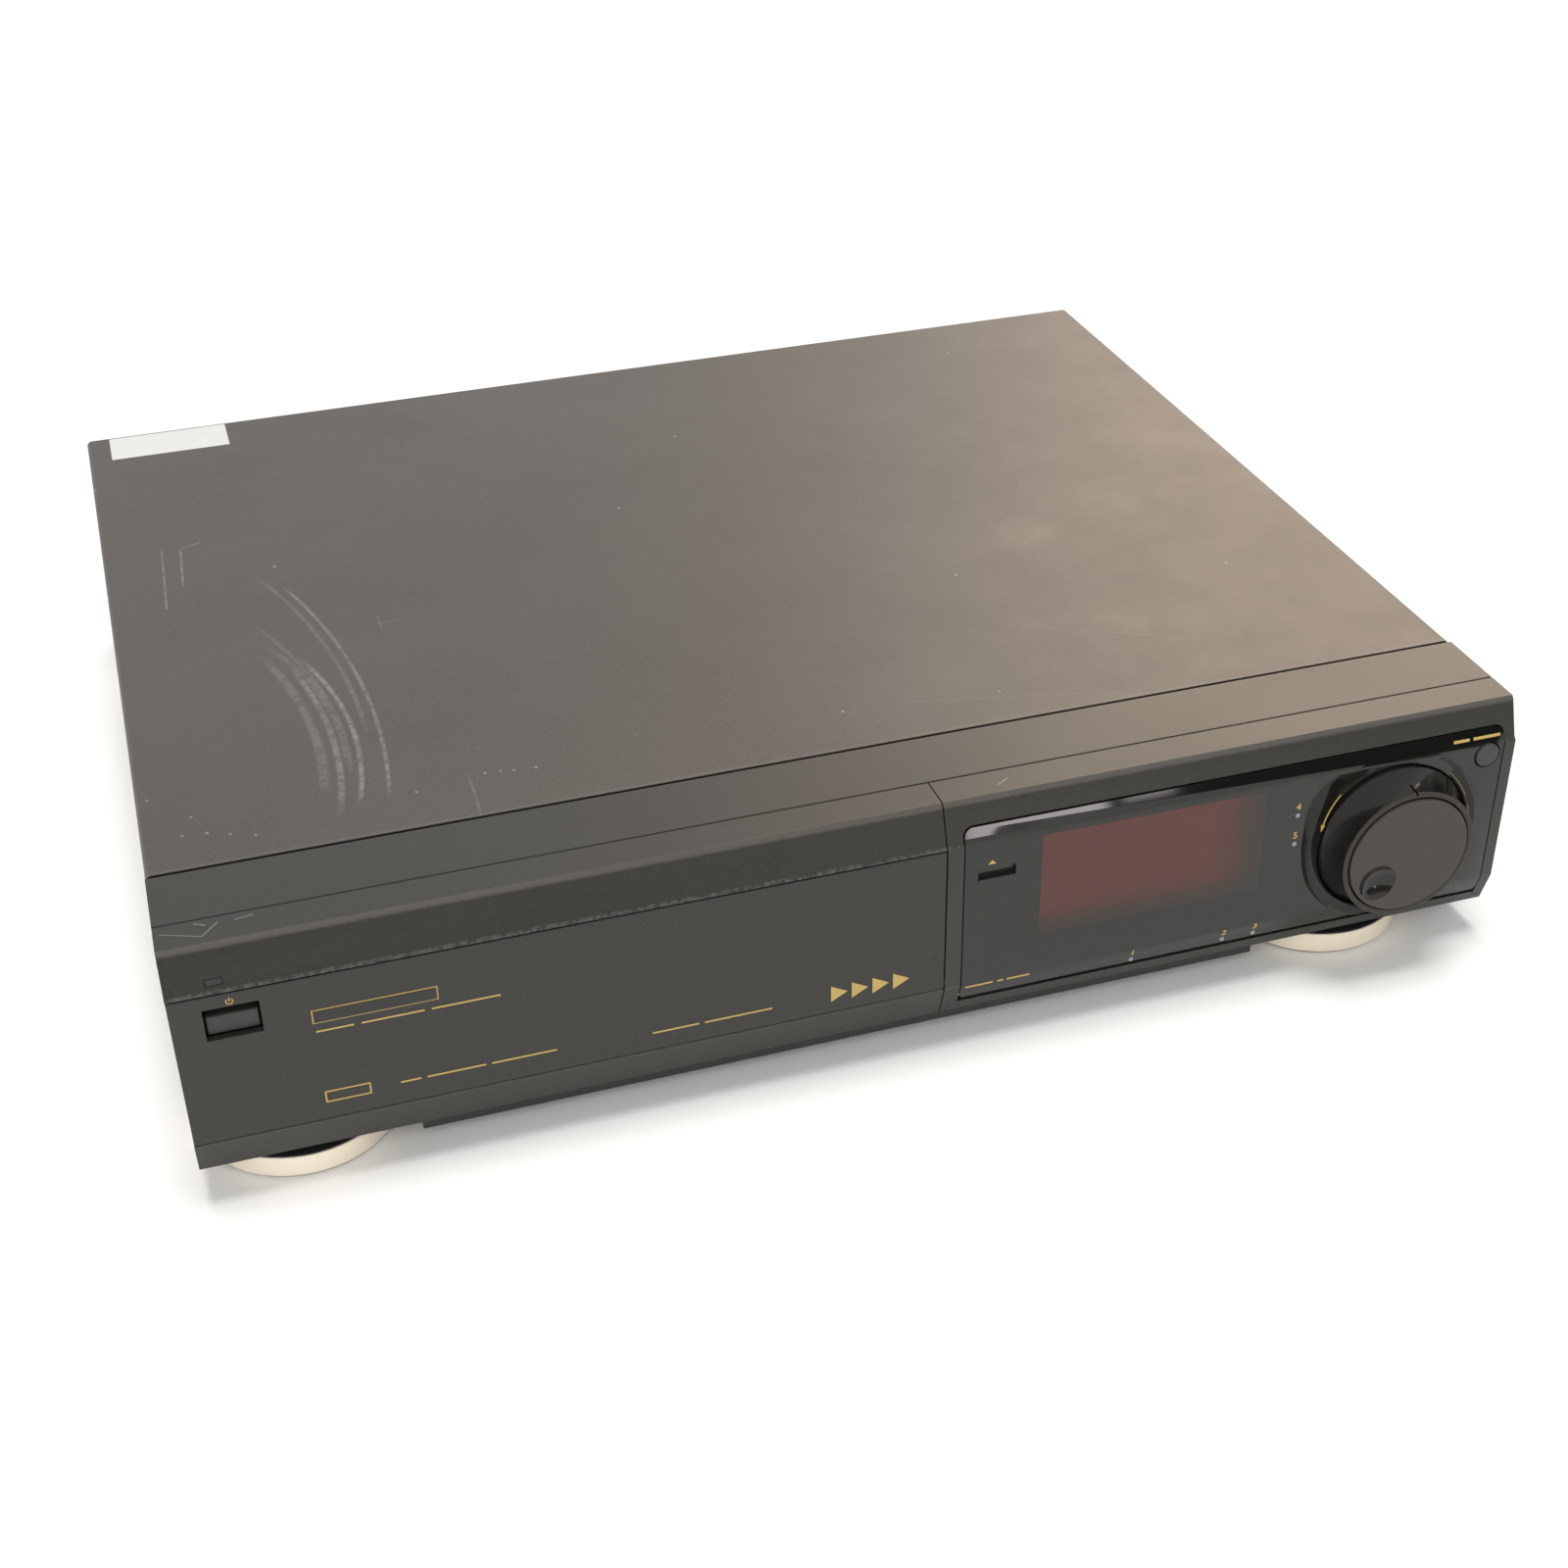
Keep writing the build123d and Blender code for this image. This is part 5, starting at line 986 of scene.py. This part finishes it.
class RECORDER_OT_stage(bpy.types.Operator):
    """Set up the floor, the light and the camera"""

    bl_idname = "recorder.stage"
    bl_label = "Stage"

    def execute(self, context):
        look = context.scene.recorder.stage
        half = 6.0
        floor = sheet("floor", [(-half, -half, 0), (half, -half, 0), (half, half, 0), (-half, half, 0)],
                      Base_Color=look.floor, Roughness=0.9, Specular_IOR_Level=0.0)
        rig.stage(floor)

        world = bpy.data.worlds.new("studio")
        context.scene.world = world
        world.use_nodes = True
        air = Tree(world.node_tree)
        air.graph.nodes.clear()
        path = air.add("ShaderNodeLightPath", None, (), "Is Camera Ray")
        seen = path.most(path["Is Glossy Ray"]).most(path["Is Transmission Ray"])
        light = air.add("ShaderNodeBackground", None, {
            "Color": (1, 1, 1), "Strength": seen * (1 - look.sky) + look.sky})
        air.add("ShaderNodeOutputWorld", None, {"Surface": light})

        flag = sheet("flag", [(-4, -2.6, 0.12), (4.6, -2.6, 0.12), (4.6, -2.6, 1.5), (-4, -2.6, 1.5)],
                     Base_Color=(0.02, 0.02, 0.02), Roughness=0.9)
        flag.visible_camera = flag.visible_diffuse = flag.visible_shadow = False
        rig.stage(flag)

        for name, spot, (wide, tall), power, colour, diffuse, glossy in (
            ("window_light", (1.7, 1.9, 1.5), (1.7, 1.3), look.lamp, (1, 0.75, 0.53), False, True),
            ("door_light", (0.88, -2.45, 0.27), (0.2, 0.3), 1.75, (1, 0.92, 0.92), False, True),
            ("glow_light", (1.03, -2.4, 0.235), (0.07, 0.06), 0.09, (1, 0.93, 0.93), False, True),
            ("fill_light", (-0.9, -2.2, 1.5), (1.6, 1.6), look.fill, (1, 0.98, 0.95), True, False),
        ):
            panel = lamp(name, "AREA", -Vector(spot), shape="RECTANGLE", size=wide, size_y=tall, energy=power,
                         color=colour)
            given(panel, location=spot, visible_camera=False, visible_diffuse=diffuse, visible_glossy=glossy)
        high = lamp("high_light", "SUN", (-0.02, -0.02, -1), energy=look.high, angle=math.radians(24),
                    color=(1, 0.985, 0.97))
        high.visible_glossy = False

        azimuth, elevation, roll = (math.radians(a) for a in CAMERA_ANGLES)
        back = Vector((math.sin(azimuth) * math.cos(elevation), -math.cos(azimuth) * math.cos(elevation),
                       math.sin(elevation)))
        level = Vector((math.cos(azimuth), math.sin(azimuth), 0))
        upward = back.cross(level)
        right = level * math.cos(roll) + upward * math.sin(roll)
        up = upward * math.cos(roll) - level * math.sin(roll)
        turn = Matrix((right, up, back)).transposed().to_4x4()
        viewer = linked("camera", given(
            bpy.data.cameras.new("camera"), lens=look.lens, sensor_width=36.0, clip_start=0.01))
        viewer.matrix_world = Matrix.Translation(CAMERA_PLACE) @ turn
        context.scene.camera = viewer
        context.scene.view_settings.view_transform = "Standard"
        return {"FINISHED"}


class RECORDER_OT_cover(bpy.types.Operator):
    """Paint the folded steel cover"""

    bl_idname = "recorder.cover"
    bl_label = "Top Cover"

    def execute(self, context):
        refine(("cover_paint", 0.3, "top_cover"))
        return {"FINISHED"}


class RECORDER_OT_front(bpy.types.Operator):
    """Finish the fixed mouldings of the front"""

    bl_idname = "recorder.front"
    bl_label = "Front"

    def execute(self, context):
        width = context.scene.recorder.front.edge / MM
        cheek = prism("cheek", corners(-217, -213.2, SLOPE_END, 66.95), 1.1, 6.0, ahead)
        refined("left_surround", "front_plastic", 0.08, tools=(cheek,))
        refine(("front_plastic", width, "fascia_frame", "right_surround"))
        refined("power_lens", "lens_dark", 0.1, look="button_plastic")
        return {"FINISHED"}


class RECORDER_OT_flap(bpy.types.Operator):
    """Finish the cassette flap, its hinge pins and the power button"""

    bl_idname = "recorder.flap"
    bl_label = "Cassette Flap"

    def execute(self, context):
        width = context.scene.recorder.front.edge / MM
        bead = place(-213, 1.2 - FACE_REACH, 65.9)
        edge = place(0, 0.05 - FACE_REACH, 0).y
        longer, squarer = 1.5 * MM, 0.8

        def reach_out(spot):
            """The left end, past the bead's, meets the side of the case, and the lower edge is square."""
            x, y, z = spot
            if y < bead.y and z < bead.z:
                y += (edge - y) * squarer
            return Vector((x - longer if x < bead.x else x, y, z))

        refined("cassette_flap", "front_plastic", 0.06, shift=reach_out)
        sill = prism("flap_sill", corners(66.86, 67.3, 4.85, 2.5), -214.9, 17.6,
                     lambda drop, reach, across: ahead(across, drop, reach))
        show("flap_sill", sill, "chassis", "front_plastic")
        refine(("button_plastic", width, "power_button"), ("pin_steel", 0.1, "flap_hinge_pins"))
        marks = Print("flap_marks", "cassette_flap")
        marks.sweep((-197.6, 17.1), 0.95, 130, 410, 0.3)
        marks.rule((-197.6, 15.8), (-197.6, 17.1), 0.3)
        for left, right, drop in (
            (-175.4, -164.5, 33.9), (-162.3, -144.0, 33.9), (-141.8, -121.5, 33.9),
            (-153.6, -147.5, 58.6), (-145.6, -128.0, 58.6), (-126.2, -106.4, 58.6),
            (-76.7, -62.0, 60.0), (-60.2, -38.6, 60.0),
        ):
            marks.rule((left, drop), (right, drop), 0.55)
        marks.frame((-176.0, -139.5), (26.1, 30.9), 0.4)
        marks.frame((-175.8, -162.3), (56.2, 60.4), 0.45)
        for count in range(4):
            tip = -19.5 + count * 6.8
            marks.patch([(tip, 56.4), (tip + 5.4, 59.4), (tip, 62.4)])
        marks.finish()
        plate = Print("flap_nameplate", "cassette_flap")
        plate.patch(corners(-175.6, -139.9, 26.5, 30.5), 0.3)
        plate.finish("door_gloss", "front_plastic")
        return {"FINISHED"}


class RECORDER_OT_door(bpy.types.Operator):
    """Finish the glossy control door with its window, lenses and hinge pins"""

    bl_idname = "recorder.door"
    bl_label = "Control Door"

    def execute(self, context):
        upper, lower, beyond, half = 8.0, 71.2, 9.5, 33.6
        front = [(slope(drop) + 0.02, drop) for drop in (upper, SLOPE_END, CURL[0], lower)]
        front += [(beyond, lower), (beyond, upper)]
        before = prism("before", front, DIAL[0] - half, DIAL[0] + half,
                       lambda reach, drop, across: ahead(across, drop, reach))
        refined("control_door", "door_gloss", 0.25, steps=3, tools=(before,))
        turns = 180
        rows = [mound_section(math.radians(k * 360 / turns)) for k in range(turns)]
        count = len(rows[0])
        mound = bpy.data.meshes.new("dial_mound")
        mound.from_pydata([p for row in rows for p in row], [], [
            (k * count + i, (k + 1) % turns * count + i, (k + 1) % turns * count + (i + 1) % count,
             k * count + (i + 1) % count) for k in range(turns) for i in range(count)])
        mound = faced_out(mound, 0)
        smooth_by_angle(mound, 50)
        show("dial_mound", mound, "control_door", "door_gloss", look="mound_gloss")
        refine(("window_red", 0.05, "display_window"), ("lens_clear", 0.12, "indicator_lenses"),
               ("pin_steel", 0.1, "door_hinge_pins"))
        marks = Print("door_marks", "control_door")
        for number, (across, drop) in enumerate(LENSES, start=1):
            marks.figure(str(number), (across, drop - 3.2), 3.4)
        marks.patch([(31.6, 21.9), (34.2, 21.9), (32.9, 20.4)])
        for left, right in ((25.4, 34.8), (36.4, 38.4), (39.6, 47.4)):
            marks.rule((left, 68.3), (right, 68.3), 0.8)
        marks.finish()
        title = Print("dial_title", "control_door")
        title.rule((192.4, 11.0), (198.2, 11.0), 0.9)
        title.rule((199.6, 11.0), (209.4, 11.0), 0.9)
        title.finish()
        arcs = Print("dial_marks", "control_door", lambda drop: crown(drop) - 0.38)
        arcs.sweep(DIAL, 28.0, 127, 160)
        arcs.sweep(DIAL, 28.0, 7, 55)
        for tip, root in ((163.5, 158.5), (3.5, 8.5)):
            head = (28.0, tip), (27.2, root), (28.8, root)
            arcs.patch([round_about(DIAL, radius, angle) for radius, angle in head])
        arcs.finish()
        return {"FINISHED"}


class RECORDER_OT_dial(bpy.types.Operator):
    """Finish the jog dial, the shuttle ring and their base"""

    bl_idname = "recorder.dial"
    bl_label = "Jog Dial"

    def execute(self, context):
        steps = context.scene.recorder.dial.steps
        centre = place(DIAL[0], 0, DIAL[1])
        forward = (math.radians(90), 0, 0)
        lip = bow((23.3, 16.9), (23.3, 17.2), (23.0, 17.2), 4)
        flare = bow((26.2, 6.4), (23.4, 11.0), (23.3, 16.9), 12)
        inner = bow((21.8, 17.2), (21.5, 17.2), (21.5, 16.9), 4)
        outline = [(26.2, 3.0), (26.2, 6.0), *flare, *lip, *inner, (21.5, 6.0), (5.2, 6.0), (5.2, 3.0),
                   (26.2, 3.0)]
        ring = turned("shuttle_ring_body", outline, "ring_gloss", centre, forward, steps)
        groove = prism("groove", corners(-0.4, 0.4, 22.4, 25.2), 12.5, 18.0,
                       lambda a, b, level: ahead(DIAL[0] + a, DIAL[1] - b, level))
        ring = cut(ring, groove)
        smooth_by_angle(ring, 28)
        show("shuttle_ring_body", ring, "shuttle_ring", "ring_gloss", ("shuttle_ring",))

        rim = bow((21.0, 17.3), (21.0, 17.8), (20.5, 17.8), 4)
        outline = [(0, -13.0), (3.0, -13.0), (3.0, 10.5), (21.0, 10.5), *rim,
                   (19.0, 17.8), (10, 17.8), (0, 17.8)]
        dial = turned("jog_dial_body", outline, "dial_plastic", centre, forward, steps)
        bowl, height = 8.76, 23.56
        arc = [math.radians(a) for a in range(0, 181, 5)]
        ball = turned("bowl", [(bowl * math.sin(a), bowl * math.cos(a)) for a in arc], "dial_plastic",
                      ahead(DIMPLE[0], DIMPLE[1], height), forward, 72)
        dial = modified(merged(cut(dial, ball), 0.05), "BEVEL", width=0.25 * MM, segments=3,
                        limit_method="ANGLE", angle_limit=math.radians(33))
        smooth_by_angle(dial, 38)
        dial = modified(dial, "WEIGHTED_NORMAL", keep_sharp=True)
        show("jog_dial_body", dial, "jog_dial", "dial_plastic", ("jog_dial",))
        refine(("button_plastic", 0.25, "jog_mode_button"), ("well_plastic", 0.2, "dial_base"))
        return {"FINISHED"}


class RECORDER_OT_well(bpy.types.Operator):
    """Finish the keys, sliders, latch and boards behind the control door"""

    bl_idname = "recorder.well"
    bl_label = "Control Well"

    def execute(self, context):
        refine(("key_plastic", 0.3, *(f"function_key_{number}" for number in range(1, 5)),
                "level_slider_left", "level_slider_right"),
               ("well_plastic", 0.2, "door_latch"), ("board_green", 0.1, "front_board"),
               ("display_tube", 0.2, "display_module"))
        return {"FINISHED"}


class RECORDER_OT_feet(bpy.types.Operator):
    """Finish the four feet"""

    bl_idname = "recorder.feet"
    bl_label = "Feet"

    def execute(self, context):
        radius, core, neck, tall = 30.7, 27.4, 22.0, 7.7
        rows = {"origin": place(-182.5, 30.0, 90.2), "columns": 2, "rows": 2,
                "pitch": (349.1 * MM, 292.0 * MM, 0), "steps": 144}
        ring = [(core, 0), *bow((radius - 0.9, 0), (radius, 0), (radius, 0.9), 5),
                *bow((radius, tall - 0.8), (radius, tall - 0.3), (radius - 0.5, tall - 0.3), 5),
                (radius - 0.7, tall - 0.7), (core, tall - 0.7), (core, 0)]
        middle = [(0, 0), (core, 0), (core, tall - 0.7), (radius - 0.7, tall - 0.7), (radius - 0.8, tall),
                  (neck, tall), (neck, tall + 2.3), (0, tall + 2.3)]
        pad = [(0, -0.8), *bow((29.2, -0.8), (29.7, -0.8), (29.7, -0.3), 3), (29.7, 0), (0, 0)]
        for name, outline, slot in (("foot_rings", ring, "foot_cream"), ("foot_cores", middle, "foot_core"),
                                    ("foot_pads", pad, "foot_rubber")):
            show(name + "_body", turned(name + "_body", outline, slot, **rows), "chassis", slot, (name,))
        return {"FINISHED"}


class RECORDER_OT_casing(bpy.types.Operator):
    """Finish the bottom pan, the rear panel and the case screws"""

    bl_idname = "recorder.casing"
    bl_label = "Casing"

    def execute(self, context):
        refined("bottom_pan", "rear_paint", 0.15, look="pan_black")
        refined("rear_panel", "rear_paint", 0.15)
        head = [(0, -6), (1.5, -6), (1.5, 0), (3.5, 0), (3.5, 0.5),
                *bow((3.45, 0.9), (2.9, 1.6), (1.4, 1.6), 6), (0, 1.6)]
        sides = []
        for side in (-1, 1):
            screws = turned("screws", head, "screw_black", place(side * 215.0, 80.0, 69.0),
                            (0, math.radians(90 * side), 0), 48, 1, 2, (0, 210 * MM, 0))
            for depth in (80.0, 290.0):
                a, b = 1.9, 0.45
                cross = [(-b, a), (b, a), (b, b), (a, b), (a, -b), (b, -b),
                         (b, -a), (-b, -a), (-b, -b), (-a, -b), (-a, b), (-b, b)]
                tool = prism("cross", cross, 215.8, 217.5,
                             lambda x, y, level: place(side * level, depth + x, 69.0 + y))
                screws = cut(screws, tool)
            sides.append(screws)
        screws = joined("case_screws_body", sides)
        smooth_by_angle(screws, 35)
        show("case_screws_body", screws, "chassis", "screw_black", ("case_screws",))
        return {"FINISHED"}


class RECORDER_OT_sockets(bpy.types.Operator):
    """Finish the sockets of the rear panel and the tuner"""

    bl_idname = "recorder.sockets"
    bl_label = "Sockets"

    def execute(self, context):
        refine(("socket_black", 0.2, "mains_inlet", "scart_sockets"),
               ("socket_plated", 0.12, "phono_sockets"), ("plated_steel", 0.15, "tuner_box"))
        return {"FINISHED"}


class RECORDER_OT_deck(bpy.types.Operator):
    """Finish the tape deck, the cassette carriage and the parts that turn on them"""

    bl_idname = "recorder.deck"
    bl_label = "Tape Deck"

    def execute(self, context):
        for slot, *nodes in (
            ("plated_steel", "deck_plate", "deck_posts"), ("pin_steel", "deck_shafts"),
            ("drum_aluminium", "lower_drum", "upper_drum"), ("bearing_brass", "capstan_bearing"),
            ("pin_steel", "capstan"), ("head_metal", "erase_head", "audio_head"),
            ("plated_steel", "loading_motor", "carriage_plates", "carriage", "cassette_holder"),
            ("reel_plastic", "supply_reel", "take_up_reel"), ("plated_steel", "pinch_arm"),
            ("roller_rubber", "pinch_roller"), ("guide_plastic", "loading_guide_left", "loading_guide_right"),
        ):
            refine((slot, 0.15, *nodes))
        return {"FINISHED"}


class RECORDER_OT_electronics(bpy.types.Operator):
    """Finish the boards and the parts on them"""

    bl_idname = "recorder.electronics"
    bl_label = "Electronics"

    def execute(self, context):
        refine(("board_green", 0.15, "main_board"), ("bearing_brass", 0.15, "board_standoffs"),
               ("drum_aluminium", 0.15, "heat_sink"), ("transformer_core", 0.15, "transformer"))
        cans = []
        for column in range(3):
            tall = 30.0 - column * 4.0
            can = [(0, 0), (6.7, 0), (7.0, 0.4), (7.0, 2.2), (6.5, 2.8), (7.0, 3.4), (7.0, tall - 1.2),
                   *bow((7.0, tall - 0.8), (7.0, tall), (6.2, tall), 4), (5.6, tall), (5.3, tall - 0.5),
                   (0, tall - 0.5)]
            cans.append(turned("can", can, "capacitor_sleeve", place(53.2 + 22.0 * column, 82.0, 73.4),
                               steps=48, rows=3, pitch=(0, 22.0 * MM, 0)))
        cans = joined("capacitors_body", cans)
        smooth_by_angle(cans, 35)
        show("capacitors_body", cans, "chassis", "capacitor_sleeve", ("capacitors",))
        return {"FINISHED"}


STEPS = (
    RECORDER_OT_stage, RECORDER_OT_cover, RECORDER_OT_front, RECORDER_OT_flap, RECORDER_OT_door,
    RECORDER_OT_dial, RECORDER_OT_well, RECORDER_OT_feet, RECORDER_OT_casing, RECORDER_OT_sockets,
    RECORDER_OT_deck, RECORDER_OT_electronics,
)
GROUPS = (CoverSettings, FrontSettings, DoorSettings, DialSettings, FootSettings, StageSettings)


class RECORDER_PT_build(bpy.types.Panel):
    """Lists the recorder's settings and pieces"""

    bl_idname = "RECORDER_PT_build"
    bl_label = "Video Cassette Recorder"
    bl_space_type = "VIEW_3D"
    bl_region_type = "UI"
    bl_category = "Recorder"

    def draw(self, context):
        for group in ("cover", "front", "door", "dial", "feet", "stage"):
            values = getattr(context.scene.recorder, group)
            box = self.layout.box()
            box.label(text=group.capitalize())
            for name in values.__annotations__:
                box.prop(values, name)
        for step in STEPS:
            self.layout.operator(step.bl_idname)


CLASSES = (*GROUPS, RecorderSettings, *STEPS, RECORDER_PT_build)


def register():
    for each in CLASSES:
        bpy.utils.register_class(each)
    bpy.types.Scene.recorder = PointerProperty(type=RecorderSettings)


def unregister():
    del bpy.types.Scene.recorder
    for each in reversed(CLASSES):
        bpy.utils.unregister_class(each)


def main():
    register()
    for step in STEPS:
        group, name = step.bl_idname.split(".")
        getattr(getattr(bpy.ops, group), name)()
    bpy.context.view_layer.update()
    visual = [list(corner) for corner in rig.bounds()]
    with open(SIZE_FILE, "w") as file:
        json.dump({"cad": CAD_BOX, "visual": visual}, file)


if __name__ == "__main__":
    main()
